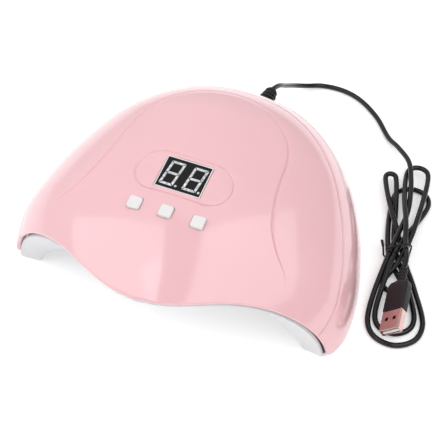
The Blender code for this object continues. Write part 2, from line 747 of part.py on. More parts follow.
def build_rear_cover(verts, faces, looks):
    cover = mesh_object("rear_cover", verts, faces, looks["pink_gloss"])
    boolean(cover, seam_block("above_seam", 1), "DIFFERENCE")
    bosses, bores = [], []
    for x, y, top in skirt_screw_spots():
        bosses.append(prism(circle(BOSS_RADIUS, 12, (x, y)), FLANGE_Z + LINER_WALL + GAP, top))
        bores.append(prism(circle(SCREW_BORE_RADIUS, 10, (x, y)), 2.0, FLANGE_Z + LINER_WALL + 9.0))
    bores.append(prism(circle(CORD_HOLE_RADIUS, 16), -10.0, 14.0, exit_frame()))
    boolean(cover, joined("skirt_bosses", bosses), "UNION")
    boolean(cover, joined("skirt_bores", bores), "DIFFERENCE")


def exit_frame():
    """The cord exit's frame in millimetres: z points straight out of the back."""
    return Matrix.Translation(CORD_EXIT) @ Matrix.Rotation(-math.pi / 2, 4, "X")


def build_screws_and_feet(looks):
    down = Matrix.Rotation(math.pi, 4, "X")
    for index, (x, y, _) in enumerate(skirt_screw_spots(), 1):
        screw = mesh_object(f"skirt_screw_{index}", *screw_shape(*SKIRT_SCREW), looks["screw_steel"])
        screw.matrix_world = Matrix.Translation(Vector((x, y, FLANGE_Z - GAP)) * MM) @ down
    for index, (point, normal) in enumerate(ceiling_screw_spots(), 1):
        screw = mesh_object(f"ceiling_screw_{index}", *screw_shape(*LONG_SCREW), looks["screw_steel"])
        turn = turn_to(-normal).to_4x4()
        screw.matrix_world = Matrix.Translation((point - normal * CEILING_HEAD_DROP) * MM) @ turn
    for index, (x, y) in enumerate(foot_spots(), 1):
        top = FLANGE_Z - GAP
        profile = [(0.0, 0.0), (FOOT_RADIUS - 0.4, 0.0), (FOOT_RADIUS, 0.4), (FOOT_RADIUS, top), (0.0, top)]
        foot = mesh_object(f"rubber_foot_{index}", *lathe(profile, 16), looks["rubber_grey"])
        foot.location = Vector((x, y, 0.0)) * MM


def foot_spots():
    return [(84.5, 28.0), (-84.5, 28.0), (37.0, 119.5), (-37.0, 119.5)]


# ---------------------------------------------------------------- cord
def bundle_point(u, v, z):
    """Bundle coordinates: u along it from its tied waist towards the lamp's back, v across."""
    (wx, wy), (ax, ay) = BUNDLE_WAIST, BUNDLE_AXIS
    return (wx + ax * u + ay * v, wy + ay * u - ax * v, z)


def lobe(u, v, radius, z, from_right):
    """Five points round a lobe's far end. u is its centre, negative for the end near the viewer."""
    outward = math.copysign(1.0, u)
    angles = [0, 45, 90, 135, 180] if from_right else [180, 135, 90, 45, 0]
    points = []
    for angle in angles:
        turn = math.radians(angle)
        points.append(bundle_point(u + outward * radius * math.sin(turn), v + radius * math.cos(turn), z))
    return points


def cord_controls():
    """The cord's course, from the board's connector out of the back, round the bundle, to the plug."""
    x, y, z = CORD_EXIT
    panel = panel_frame()
    plug_w = BOARD_TOP_W - BOARD_SIZE[2] - GAP - CONNECTOR_SIZE[2] / 2
    plug_v = CONNECTOR_SPOT[1] + CONNECTOR_SIZE[1] / 2
    inside = [tuple(panel @ Vector((CONNECTOR_SPOT[0], plug_v + step, plug_w))) for step in (GAP, 9.0)]
    inside += [(-3.0, 72.0, 65.5), (-0.5, 95.0, 58.0), (x, 111.0, 42.0), (x, y - 12.0, z + 2.5), (x, y - 6.0, z)]
    low, mid, high = [CORD_RADIUS + 0.1 + 3.2 * level for level in (0, 1, 2)]
    outside = [(x, y, z), (x, y + 7.0, z), (x, RELIEF_END_Y, z), (x, RELIEF_END_Y + 3.0, z - 0.7),
               (0.6, 158.0, 27.5), (0.8, 168.0, 19.5), (2.5, 180.0, 10.5), (8.0, 190.0, 4.0),
               (15.0, 196.0, low), (28.0, 197.0, low), (40.0, 193.5, low), (55.0, 182.5, low),
               (68.0, 167.0, 2.2), (76.5, 158.5, 5.0)]
    w_low, w_mid, w_high = low + WAIST_LIFT, mid + WAIST_LIFT, high + WAIST_LIFT
    bundle = [bundle_point(69.5, 4.6, high), bundle_point(55.5, 5.8, high), bundle_point(42.0, 5.2, high),
              bundle_point(26.0, 3.4, w_mid + 1.5), bundle_point(0.0, -3.4, w_mid)]
    bundle += lobe(-46.0, 1.0, 14.3, low, False)
    bundle += [bundle_point(-22.0, 10.6, low), bundle_point(0.0, 3.6, w_low)]
    bundle += lobe(59.0, -5.2, 2.9, mid, False) + [bundle_point(0.0, 0.0, w_low)]
    bundle += lobe(-42.5, 0.4, 10.2, low, True) + [bundle_point(0.0, 0.0, w_mid)]
    bundle += lobe(43.8, 7.0, 10.2, low, True) + [bundle_point(0.0, -3.6, w_low)]
    bundle += lobe(-18.5, -0.8, 5.6, low, True) + [bundle_point(0.0, 3.4, w_mid)]
    bundle += lobe(62.8, 10.2, 6.0, mid, True)
    bundle += [bundle_point(20.0, 4.4, w_high), bundle_point(4.0, 4.4, w_high)]
    return inside + outside + bundle + plug_entry()


def plug_entry():
    place = plug_frame()
    return [tuple(place @ Vector((0.0, 0.0, -offset))) for offset in (9.0, GAP)]


def between(a, b, start, end, t):
    return ((end - t) * a + (t - start) * b) / (end - start)


def smooth_path(controls, spacing):
    """A centripetal Catmull-Rom curve through the controls, at even spacing."""
    p = [np.array(c, dtype=float) for c in controls]
    p = [2 * p[0] - p[1]] + p + [2 * p[-1] - p[-2]]
    dense = []
    for i in range(1, len(p) - 2):
        knots = [0.0]
        for a, b in zip(p[i - 1:i + 2], p[i:i + 3]):
            knots.append(knots[-1] + math.sqrt(np.linalg.norm(b - a)))
        for t in np.linspace(knots[1], knots[2], 24, endpoint=False):
            near = [between(p[i - 1 + j], p[i + j], knots[j], knots[j + 1], t) for j in range(3)]
            wide = [between(near[j], near[j + 1], knots[j], knots[j + 2], t) for j in range(2)]
            dense.append(between(*wide, knots[1], knots[2], t))
    dense.append(p[-2])
    length = float(np.sum(np.linalg.norm(np.diff(dense, axis=0), axis=1)))
    return resample(dense, round(length / spacing))


def settle(path, spacing):
    """Pushes strands of the cord apart until none touch, keeping them on or above the table."""
    clearance = 2 * CORD_RADIUS + CORD_CLEARANCE
    skip = int(3 * clearance / spacing)
    rest, shift = path.copy(), np.zeros_like(path)
    count = len(path)
    near = np.abs(np.subtract.outer(np.arange(count), np.arange(count))) <= skip
    for _ in range(160):
        here = rest + shift
        apart = here[:, None] - here[None]
        distance = np.linalg.norm(apart, axis=2) + near * 1e3
        push = np.clip(clearance - distance, 0.0, None) / 2
        shift += np.einsum("ij,ijk->ik", push / np.maximum(distance, 1e-3), apart) * 0.5
        shift[1:-1] = 0.5 * shift[1:-1] + 0.25 * (shift[:-2] + shift[2:])
        floor = CORD_RADIUS + 0.05 - (rest[:, 2] + shift[:, 2])
        shift[:, 2] += np.clip(floor, 0.0, None)
        shift[:3], shift[-3:] = 0.0, 0.0
    return rest + shift


def cord_path():
    return settle(smooth_path(cord_controls(), CORD_SPACING), CORD_SPACING)


def build_relief(dome, normals, looks):
    """A ribbed, tapered sleeve round the cord where it leaves the rear cover."""
    profile = [(RELIEF_NECK_RADIUS, -5.0), (RELIEF_NECK_RADIUS, 2.0)]
    for index in range(4):
        start = 2.0 + index * 3.2
        wide, neck = 5.4 - index * 0.55, 3.6 - index * 0.25
        profile += [(wide, start), (wide, start + 1.8), (neck, start + 2.0), (neck, start + 3.0)]
    end = RELIEF_END_Y - CORD_EXIT[1]
    profile += [(2.6, end), (RELIEF_BORE_RADIUS, end), (RELIEF_BORE_RADIUS, -5.0)]
    place = exit_frame()
    sleeve = mesh_object("strain_relief", *turned(profile, 16, place), looks["black_rubber"])
    verts, faces, rim = skin(lifted(dome + GAP * normals), 0)
    trim = tool(mesh_object("dome_trim", verts, faces + [tuple(reversed(rim))]))
    neck = joined("neck_keep", [prism(circle(RELIEF_NECK_RADIUS + 0.05, 16), -6.0, 6.5, place)])
    boolean(trim, neck, "DIFFERENCE")
    boolean(sleeve, trim, "DIFFERENCE")


def plug_frame():
    """The plug's frame: z towards its nose, x across its wide face, origin where the cord enters."""
    start = Vector(bundle_point(-16.2, 3.8, 11.3))
    nose = Vector((117.3, 14.8, 9.0))
    z = (nose - start).normalized()
    x = z.cross(Vector((0, 0, 1))).normalized()
    y = z.cross(x)
    turn = Matrix((x, y, z)).transposed() @ Matrix.Rotation(PLUG_ROLL, 3, "Z")
    return Matrix.Translation(start) @ turn.to_4x4()


def build_plug(looks):
    place = plug_frame()
    sections = []
    for index in range(4):
        start = index * 2.2
        sections += [(4.6, 4.6, start), (4.6, 4.6, start + 1.2), (3.9, 3.9, start + 1.3),
                     (3.9, 3.9, start + 2.1)]
    grip_end = PLUG_NECK + OVERMOLD_LENGTH
    sections += [(6.6, 5.0, PLUG_NECK - 0.6), (12.0, 5.6, PLUG_NECK + 1.2), (12.5, 6.0, PLUG_NECK + 3.0),
                 (12.5, 6.0, grip_end)]
    sides = 20
    verts = []
    for width, depth, along in sections:
        power = 2.0 + 3.0 * min(max((along - PLUG_NECK + 1.0) / 4.0, 0.0), 1.0)
        for i in range(sides):
            c, s = math.cos(2 * math.pi * i / sides), math.sin(2 * math.pi * i / sides)
            verts.append(place @ Vector((width / 2 * math.copysign(abs(c) ** (2 / power), c),
                                         depth / 2 * math.copysign(abs(s) ** (2 / power), s), along)))
    faces = [tuple(range(sides)), tuple(range(len(verts) - 1, len(verts) - sides - 1, -1))]
    for ring in range(len(sections) - 1):
        low, high = ring * sides, (ring + 1) * sides
        faces += [(low + i, high + i, high + (i + 1) % sides, low + (i + 1) % sides) for i in range(sides)]
    mesh_object("usb_overmold", verts, faces, looks["black_rubber"])

    start = grip_end + GAP
    end = start + SHELL_LENGTH
    width, depth = SHELL_SIZE
    shell = prism(rounded_rectangle(width, depth, 0.5, 2), start, end, place)
    shell = mesh_object("usb_shell", *shell, looks["plated_steel"])
    inside = rounded_rectangle(width - 2 * SHELL_WALL, depth - 2 * SHELL_WALL, 0.3, 1)
    bore = prism(inside, start + 0.4, end + 1, place)
    boolean(shell, joined("usb_shell_bore", [bore]), "DIFFERENCE")
    windows = []
    for x in (-2.4, 2.4):
        square = rounded_rectangle(2.0, 2.2, 0.2, 1, (x, 0.0))
        turned_place = place @ Matrix.Translation((0, 0, start + 5.6)) @ Matrix.Rotation(math.pi / 2, 4, "X")
        windows.append(prism(square, -5.0, 5.0, turned_place))
    boolean(shell, joined("usb_shell_windows", windows), "DIFFERENCE")

    block = rounded_rectangle(*TONGUE_SIZE, 0.2, 1, (0.0, TONGUE_SIZE[1] / 2))
    mesh_object("usb_tongue", *prism(block, start + 0.8, end - 0.6, place), looks["tongue_white"])
    for index in range(4):
        outline = rounded_rectangle(*CONTACT_SIZE, 0.05, 1, (-3.5 + index * 7.0 / 3, -0.6))
        strip = prism(outline, start + 3.0, end - 1.2, place)
        mesh_object(f"usb_contact_{index + 1}", *strip, looks["gold"])


def waist_crossings(path):
    """(v, z) of the cord wherever it passes the bundle's waist."""
    (wx, wy), (ax, ay) = BUNDLE_WAIST, BUNDLE_AXIS
    u = (path[:, 0] - wx) * ax + (path[:, 1] - wy) * ay
    v = (path[:, 0] - wx) * ay - (path[:, 1] - wy) * ax
    crossed = (u[:-1] * u[1:] <= 0) & (np.abs(v[:-1]) < 20)
    return [(v[i], path[i, 2]) for i in np.flatnonzero(crossed)]


def build_tie(path, looks):
    """A wire tie pulled tight round the bundle's waist, with its ends lying beside it."""
    crossings = waist_crossings(path)
    reach = CORD_RADIUS + TIE_RADIUS + TIE_SLACK
    ring = []
    steps = 30
    for step in range(steps + 1):
        turn = math.radians(150 - 335 * step / steps)
        c, s = math.cos(turn), math.sin(turn)
        v, z = max(crossings, key=lambda spot: spot[0] * c + spot[1] * s)
        ring.append(bundle_point(1.6 * step / steps, v + reach * c, max(z + reach * s, TIE_RADIUS + 0.05)))
    tail = [bundle_point(4.0, -8.8, 6.0), bundle_point(6.5, -9.6, 5.4), bundle_point(9.0, -10.4, 4.8)]
    mesh_object("twist_tie", *tube(ring + tail, TIE_RADIUS, 6), looks["black_rubber"])


# ---------------------------------------------------------------- assembly
def materials():
    return {
        "pink_gloss": material("pink_gloss", (0.86, 0.48, 0.51), 0.12),
        "liner_white": material("liner_white", (0.78, 0.77, 0.78), 0.35),
        "black_plastic": material("black_plastic", (0.012, 0.012, 0.013), 0.35),
        "segment_white": material("segment_white", (0.70, 0.70, 0.70), 0.5),
        "button_white": material("button_white", (0.86, 0.84, 0.82), 0.3),
        "board_green": material("board_green", (0.03, 0.18, 0.07), 0.4),
        "board_white": material("board_white", (0.8, 0.8, 0.78), 0.4),
        "led_lens": material("led_lens", (0.80, 0.78, 0.50), 0.15),
        "screw_steel": material("screw_steel", (0.55, 0.55, 0.56), 0.3, 1.0),
        "rubber_grey": material("rubber_grey", (0.05, 0.05, 0.05), 0.8),
        "black_rubber": material("black_rubber", (0.015, 0.015, 0.017), 0.45),
        "plated_steel": material("plated_steel", (0.75, 0.66, 0.64), 0.2, 1.0),
        "tongue_white": material("tongue_white", (0.8, 0.8, 0.8), 0.5),
        "gold": material("gold", (0.83, 0.62, 0.25), 0.25, 1.0),
    }


def centre_on_origin():
    for part in bpy.data.objects:
        if part.parent is None:
            part.location -= Vector(BOX_CENTRE) * MM


def build():
    clear_scene()
    looks = materials()
    dome, normals = dome_grid()
    shell = thick_skin(lifted(dome), lifted(dome - WALL * normals))
    build_top_cover(*shell, looks)
    build_rear_cover(*shell, looks)
    build_liner(dome, normals, looks)
    panel = panel_empty()
    build_display(panel, looks)
    build_board(panel, looks)
    for name, index in (("left", -1), ("middle", 0), ("right", 1)):
        build_button(name, index * BUTTON_PITCH, panel, looks)
    build_leds(looks)
    build_screws_and_feet(looks)
    build_relief(dome, normals, looks)
    path = cord_path()
    mesh_object("usb_cord", *tube(resample(path, len(path) // 3), CORD_RADIUS, 6), looks["black_rubber"])
    build_plug(looks)
    build_tie(path, looks)
    centre_on_origin()


build()
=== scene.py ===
"""Looks for the UV LED nail lamp: fine shells, reflector liner, display, buttons, cord and plug.

Shapes are worked out in millimetres about the dome's own plane of symmetry, x = 0: the lamp stands on
z = 0 and its hand opening faces -Y. present() and aim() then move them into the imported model's frame.
"""
import math
from contextlib import contextmanager

import bmesh
import bpy
import numpy as np
from mathutils import Matrix, Vector


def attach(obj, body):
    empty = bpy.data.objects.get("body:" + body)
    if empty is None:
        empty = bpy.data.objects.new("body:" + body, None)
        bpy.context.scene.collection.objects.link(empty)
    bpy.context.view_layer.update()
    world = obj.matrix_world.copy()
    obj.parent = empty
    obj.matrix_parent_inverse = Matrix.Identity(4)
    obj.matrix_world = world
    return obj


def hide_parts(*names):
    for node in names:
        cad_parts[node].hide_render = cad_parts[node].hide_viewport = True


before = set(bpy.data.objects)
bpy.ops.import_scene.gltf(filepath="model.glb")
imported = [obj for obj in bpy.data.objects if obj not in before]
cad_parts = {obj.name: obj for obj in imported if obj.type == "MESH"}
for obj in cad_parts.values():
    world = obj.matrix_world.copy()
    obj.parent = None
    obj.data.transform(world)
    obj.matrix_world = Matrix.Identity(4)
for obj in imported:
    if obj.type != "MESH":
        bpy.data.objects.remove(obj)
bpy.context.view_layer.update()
MM = 0.001
BOX_CENTRE = Vector((18.08, 80.094, 0.0))

# Outer dome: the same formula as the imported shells.
HALF_WIDTH = 95.0
HEIGHT = 77.0
BACK_Y = 145.0
WIDEST_Y = 16.5
PLAN_FRONT_REACH = 77.5
PLAN_FRONT_POWER = 1.7
PLAN_BACK_POWER = 1.82
CROWN_Y = 68.5
FRONT_SLOPE_POWER = 2.4
BACK_INNER_POWER = 1.92
BACK_OUTER_POWER = 1.5
SECTION_FRONT_POWER = 1.97
SECTION_BACK_POWER = 2.3
VISOR_TIP_Y = -38.5
VISOR_TIP_Z = 47.5
VISOR_REACH_POWER = 4.0
VISOR_RISE_POWER = 1.2
WALL = 2.4
SHELL_LIFT = 0.8
SEAM_Z_AT_ORIGIN = 20.5
SEAM_RISE = 0.42
SEAM_WIDTH = 0.75
SEAM_EASE = (0.0, 0.08, 0.2, 0.45)
SEAM_DROP = 0.3
SEAM_UP = Vector((0.0, -SEAM_RISE, 1.0)).normalized()
SEAM_MIDDLE = Vector((0.0, 0.0, SHELL_LIFT + SEAM_Z_AT_ORIGIN))
INNER_ROWS = 41
LIP_FIRST_ROW = 4
LIP_REACH = 1.6
LIP_WALL = 0.5

# Control panel.
PANEL_Y = 25.0
PANEL_TILT = math.radians(12.5)
PANEL_SINK = 0.8
DISPLAY_SIZE = (25.1, 19.0, 8.0)
BEZEL = 0.5
DIGIT_PITCH = 12.5
DIGIT_SIZE = (6.4, 13.2)
DIGIT_SLANT = math.radians(7.6)
SEGMENT_WIDTH = 1.4
SEGMENT_SPLIT = 0.35
DOT_RADIUS = 0.7
BUTTONS = {"left": -1, "middle": 0, "right": 1}
BUTTON_PITCH = 17.3
BUTTON_ROW_V = -22.1
BUTTON_SIZE = 7.0
BUTTON_CORNER = 1.3
BUTTON_PROUD = 1.5
BUTTON_SOFTNESS = 0.75
HOLE_PLAY = 0.36
HOLE_CHAMFER = 0.35
SWITCH_HEIGHT = 3.2
PLUNGER_REACH = 1.1

# Shell details.
WINDOW_ROWS = (0.0, 0.08, 0.2, 0.36, 0.6)
WINDOW_DROP = 0.4
WINDOW_SHARPNESS = 36.0
PILL_HALF_LENGTH = 26.3
PILL_RADIUS = 12.3
PILL_GROOVE_DEPTH = 0.6
PILL_GROOVE_WIDTH = 0.5
PILL_ROWS = (-1.0, -0.7, -0.45, -0.22, 0.0, 0.22, 0.45, 0.7, 1.0)
PETAL_RISE = 0.5
PETAL_FALL = 7.0
PETAL_STEP = 1.3
PETAL_GROOVE_DEPTH = 0.9
PETAL_GROOVE_WIDTH = 0.7
PETAL_ROWS = (-1.3, -1.0, -0.75, -0.5, -0.32, -0.16, 0.0, 0.16, 0.32, 0.5, 0.75, 1.0, 1.3)
PETAL_FADE = math.radians(7)
PETAL_LIMIT = 0.82
PETAL_OUTLINE = ((0.0, 94.0), (17.0, 90.0), (28.0, 82.0), (37.5, 72.0), (42.5, 60.5), (44.5, 46.0),
                 (46.5, 33.0), (50.5, 19.5), (56.5, 9.8), (64.5, 3.0), (71.5, -1.8), (78.0, -5.5))
LIP_ROUND = 1.1
RIM_ROUND = 6.0

# Liner.
LINER_WALL = 1.8
LINER_FACE_Y = 1.5
LINER_GAP = 0.6
LINER_GAP_UP_FRONT = 0.9
LINER_SETBACK = 1.0
LINER_FILLET = 2.2
FLANGE_Z = 1.8
ARCH_HALF_WIDTH = 77.0
ARCH_HEIGHT = 33.0
ARCH_POWER = 1.65
CAVITY_HALF_WIDTH = 79.0
CAVITY_WIDEST_Y = 22.0
CAVITY_HEIGHT = 48.0
CAVITY_CROWN_Y = 55.0
CAVITY_BACK_Y = 124.0
CAVITY_BACK_POWER = 2.3
CAVITY_CENTRE_Y = 60.0
LED_ROWS_Y = (28.0, 60.0, 92.0)
LED_ANGLES = (32.0, 68.0, 112.0, 148.0)
LED_RADIUS = 2.7

# Screws and feet.
SKIRT_SCREWS = ((86.4, 14.0), (-86.4, 14.0), (51.5, 111.5), (-51.5, 111.5))
FEET = ((84.5, 28.0), (-84.5, 28.0), (37.0, 119.5), (-37.0, 119.5))
SCREW_HEAD = 2.6
SCREW_SHANK = 1.3
SCREW_HOLE = 1.7
THREAD_PITCH = 0.8
FOOT_RADIUS = 4.0

# Cord.
CORD_RADIUS = 1.5
CORD_SPACING = 1.8
CORD_REST = CORD_RADIUS + 0.1
CORD_LEVEL = 3.2
CORD_EXIT = (0.0, 133.0, 31.5)
CORD_HOLE = 4.1
RELIEF_END_Y = 148.0
BUNDLE_WAIST = (101.7, 78.0)
BUNDLE_AXIS = (-0.279, 0.960)
WAIST_LIFT = 1.7
TIE_RADIUS = 0.5
TIE_SLACK = 0.9
TIE_DRIFT = 1.6
TIE_TWIST = 0.45
PLUG_ROLL = math.radians(38.0)
PLUG_NECK = 10.0
RIB_PITCH = 2.2
RIB = ((4.4, 0.0), (4.6, 0.15), (4.6, 1.1), (4.4, 1.25), (3.9, 1.35), (3.9, 2.1))
GRIP = ((4.8, 4.4, -0.9), (8.2, 5.0, -0.4), (11.4, 5.6, 0.3), (12.0, 5.7, 1.2), (12.4, 5.9, 2.6),
        (12.5, 6.0, 5.0))
OVERMOLD_LENGTH = 19.0
SHELL_LENGTH = 12.5
SHELL_SIZE = (12.0, 4.5)
SHELL_WALL = 0.35
BOARD_TOP_W = -11.3
BOARD_THICKNESS = 1.6
CONNECTOR_SIZE = (7.5, 5.8, 5.5)
CONNECTOR_SPOT = (-6.0, 8.0)
GAP = 0.3

# Camera and light.
CAMERA_AT = (200.4, -391.4, 537.0)
CAMERA_LOOKS_AT = (24.1, 20.0, 53.7)
LENS = 104.5
FLOOR_REACH = 3000.0
STRIP_HEIGHT = 890.0
STRIP_CORNERS = ((-264, 40), (-2, 40), (394, -900), (118, -900))
SKY_AXIS = (-0.60, 0.15, 0.75)


# Materials.
def set_values(node, **values):
    """Sets or links a node's inputs; what isn't an input is set on the node itself."""
    for key, value in values.items():
        socket = node.inputs.get(key.replace("_", " "))
        if isinstance(value, bpy.types.NodeSocket):
            node.id_data.links.new(value, socket)
        elif socket:
            socket.default_value = value
        else:
            setattr(node, key, value)
    return node


def add_node(tree, kind, **values):
    return set_values(tree.nodes.new(kind), **values)


def surface(name, colour, roughness, grain, bump, shade, metallic=0.0, coat=0.0, **extra):
    """A Principled material with fine colour variation (shade), uneven gloss and a grain in the surface."""
    made = bpy.data.materials.new(name)
    made.use_nodes = True
    tree = made.node_tree
    shader = set_values(tree.nodes["Principled BSDF"], Metallic=metallic, Coat_Weight=coat,
                        Coat_Roughness=0.05, **extra)
    where = add_node(tree, "ShaderNodeTexCoord").outputs["Object"]
    cloud = add_node(tree, "ShaderNodeTexNoise", Vector=where, Scale=grain / 12, Detail=3.0, Roughness=0.55)
    fine = add_node(tree, "ShaderNodeTexNoise", Vector=where, Scale=grain, Detail=2.0, Roughness=0.5)
    cloud, fine = cloud.outputs["Fac"], fine.outputs["Fac"]
    tint = add_node(tree, "ShaderNodeValToRGB", Fac=cloud)
    for stop, spot, gain in zip(tint.color_ramp.elements, (0.3, 0.7), (1 - shade, 1 + shade * 0.4)):
        stop.position = spot
        stop.color = (*[min(c * gain, 1.0) for c in colour], 1.0)
    gloss = add_node(tree, "ShaderNodeMapRange", Value=fine, To_Min=roughness * 0.85, To_Max=roughness * 1.15)
    relief = add_node(tree, "ShaderNodeBump", Height=fine, Strength=bump, Distance=0.0002)
    set_values(shader, Base_Color=tint.outputs["Color"], Roughness=gloss.outputs["Result"],
               Normal=relief.outputs["Normal"])
    return made


LOOKS = {
    "pink": surface("pink_gloss_shell", (0.84, 0.505, 0.54), 0.16, 260, 0.02, 0.02,
                    coat=0.55, Specular_IOR_Level=0.4, Subsurface_Weight=0.06, Subsurface_Scale=0.002),
    "liner": surface("reflector_liner", (0.72, 0.715, 0.73), 0.32, 500, 0.03, 0.02),
    "display": surface("display_face", (0.008, 0.008, 0.009), 0.30, 900, 0.02, 0.05,
                       Specular_IOR_Level=0.22),
    "segment": surface("display_segment", (0.72, 0.72, 0.74), 0.5, 9000, 0.2, 0.55),
    "button": surface("button_cap", (0.80, 0.78, 0.78), 0.30, 900, 0.03, 0.02,
                      Subsurface_Weight=0.1, Subsurface_Scale=0.001),
    "black_plastic": surface("moulded_black_plastic", (0.014, 0.014, 0.015), 0.38, 1500, 0.08, 0.05),
    "board_green": surface("solder_mask", (0.02, 0.16, 0.06), 0.35, 700, 0.1, 0.2),
    "board_white": surface("white_strip_board", (0.80, 0.80, 0.78), 0.4, 900, 0.05, 0.05),
    "led": surface("led_lens", (0.80, 0.74, 0.38), 0.12, 700, 0.02, 0.05, coat=0.8,
                   Transmission_Weight=0.25),
    "steel": surface("zinc_screw", (0.56, 0.56, 0.58), 0.28, 2200, 0.1, 0.12, 1.0),
    "foot": surface("grey_rubber_foot", (0.07, 0.07, 0.072), 0.75, 1600, 0.3, 0.2),
    "cord": surface("black_cord_jacket", (0.005, 0.005, 0.006), 0.2, 1300, 0.12, 0.2,
                    Specular_IOR_Level=0.42),
    "moulded_cord": surface("black_overmould", (0.008, 0.006, 0.008), 0.40, 1800, 0.15, 0.2,
                            Specular_IOR_Level=0.35),
    "plated": surface("plated_steel", (0.70, 0.47, 0.44), 0.16, 1800, 0.04, 0.08, 1.0),
    "tongue": surface("plug_tongue", (0.75, 0.75, 0.74), 0.45, 1200, 0.08, 0.05),
    "gold": surface("gold_contact", (0.86, 0.62, 0.24), 0.22, 1800, 0.04, 0.1, 1.0),
}


# Mesh helpers.
def add_object(name, data):
    made = bpy.data.objects.new(name, data)
    bpy.context.scene.collection.objects.link(made)
    return made


def to_mesh(name, verts, faces):
    mesh = bpy.data.meshes.new(name)
    mesh.from_pydata((np.asarray(verts, dtype=float) * MM).tolist(), [], [tuple(f) for f in faces])
    mesh.validate()
    return mesh


@contextmanager
def edited(mesh):
    """A bmesh of the mesh, written back to it at the end."""
    shaped = bmesh.new()
    shaped.from_mesh(mesh)
    yield shaped
    shaped.to_mesh(mesh)
    shaped.free()


def loose(name, verts, faces):
    """A mesh object from millimetre vertices, faces turned outward, not yet a piece."""
    mesh = to_mesh(name, verts, faces)
    with edited(mesh) as shaped:
        bmesh.ops.remove_doubles(shaped, verts=shaped.verts, dist=2e-6)
        bmesh.ops.recalc_face_normals(shaped, faces=shaped.faces)
    return add_object(name, mesh)


def settle_modifiers(made):
    """Applies every modifier and leaves one plain mesh."""
    graph = bpy.context.evaluated_depsgraph_get()
    final = bpy.data.meshes.new_from_object(made.evaluated_get(graph))
    made.modifiers.clear()
    made.data = final


def thicken(made, thickness, offset):
    """Gives a sheet a wall, against its normals for offset -1 and along them for offset 1."""
    wall = made.modifiers.new("wall", "SOLIDIFY")
    wall.thickness = thickness * MM
    wall.offset = offset
    settle_modifiers(made)


def cut(made, shape, operation="DIFFERENCE"):
    """Takes a closed (vertices, faces) shape away from the object, or adds it with UNION."""
    cutter = loose("cutter", *shape)
    step = made.modifiers.new(operation.title(), "BOOLEAN")
    step.operation = operation
    step.solver = "MANIFOLD"
    step.object = cutter
    settle_modifiers(made)
    bpy.data.objects.remove(cutter, do_unlink=True)


def present(made, look, node, crease=35, body="root"):
    """Gives a finished mesh its material, smooth shading and body, and hides the CAD node it stands for."""
    made.data.transform(Matrix.Translation(-BOX_CENTRE * MM))
    made.data.materials.clear()
    made.data.materials.append(LOOKS[look])
    made.data.polygons.foreach_set("material_index", [0] * len(made.data.polygons))
    made.data.shade_smooth()
    made.data.set_sharp_from_angle(angle=math.radians(crease))
    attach(made, body)
    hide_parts(node)


def bands(rings, sides, first=0):
    """The quads between rings of equal point counts, whose vertices are numbered from first."""
    return [(low + i, low + (i + 1) % sides, low + sides + (i + 1) % sides, low + sides + i)
            for low in range(first, first + (rings - 1) * sides, sides) for i in range(sides)]


def capped(rings, sides):
    """The faces of a stack of rings, closed at both ends."""
    last = (rings - 1) * sides
    return [tuple(range(sides - 1, -1, -1)), tuple(range(last, last + sides))] + bands(rings, sides)


def stacked(outlines, place=Matrix.Identity(4)):
    """A capped loft through (outline, height) pairs with equal point counts."""
    verts = [place @ Vector((x, y, z)) for outline, z in outlines for x, y in outline]
    return verts, capped(len(outlines), len(outlines[0][0]))


def prism(outline, low, high, place=Matrix.Identity(4)):
    return stacked([(outline, low), (outline, high)], place)


def joined(parts):
    verts, faces = [], []
    for part_verts, part_faces in parts:
        start = len(verts)
        verts.extend(part_verts)
        faces.extend([tuple(i + start for i in face) for face in part_faces])
    return verts, faces


def circle(radius, sides, centre=(0.0, 0.0)):
    turns = [2 * math.pi * i / sides for i in range(sides)]
    return [(centre[0] + radius * math.cos(t), centre[1] + radius * math.sin(t)) for t in turns]


def rounded_rectangle(width, depth, corner, steps=6, centre=(0.0, 0.0)):
    points = []
    for quarter, (sx, sy) in enumerate(((1, 1), (-1, 1), (-1, -1), (1, -1))):
        cx = centre[0] + sx * (width / 2 - corner)
        cy = centre[1] + sy * (depth / 2 - corner)
        for step in range(steps + 1):
            turn = math.pi / 2 * (quarter + step / steps)
            points.append((cx + corner * math.cos(turn), cy + corner * math.sin(turn)))
    return points


def lathe(profile, sides, place=Matrix.Identity(4)):
    """An open profile of (radius, height) from the axis to the axis, turned about the local z axis."""
    inner = profile[1:-1]
    verts = [Vector((0.0, 0.0, z)) for _, z in (profile[0], profile[-1])]
    verts += [Vector((x, y, z)) for r, z in inner for x, y in circle(r, sides)]
    last = 2 + (len(inner) - 1) * sides
    faces = [(0, 2 + (i + 1) % sides, 2 + i) for i in range(sides)]
    faces += [(1, last + i, last + (i + 1) % sides) for i in range(sides)]
    return [place @ v for v in verts], faces + bands(len(inner), sides, 2)


def torus_faces(columns, rows):
    """The quads of a closed grid whose vertices run along each column's loop, then round the columns."""
    faces = []
    for c in range(columns):
        here, there = c * rows, (c + 1) % columns * rows
        for r in range(rows):
            s = (r + 1) % rows
            faces.append((here + r, here + s, there + s, there + r))
    return faces


def ring_lathe(profile, sides):
    """A closed profile of (radius, height) turned about z, its vertices in the order of torus_faces."""
    verts = [Vector((r * c, r * s, z)) for c, s in circle(1.0, sides) for r, z in profile]
    return verts, [(i, m, l, k) for i, k, l, m in torus_faces(sides, len(profile))]


def tube(path, radius, sides):
    """A capped tube along a path, with a frame that doesn't twist."""
    path = [Vector(p) for p in path]
    side = Vector((0, 0, 1))
    verts = []
    for i, point in enumerate(path):
        ahead = (path[min(i + 1, len(path) - 1)] - path[max(i - 1, 0)]).normalized()
        side = (side - ahead * side.dot(ahead)).normalized()
        other = ahead.cross(side)
        verts += [point + radius * (side * c + other * s) for c, s in circle(1.0, sides)]
    return verts, capped(len(path), sides)


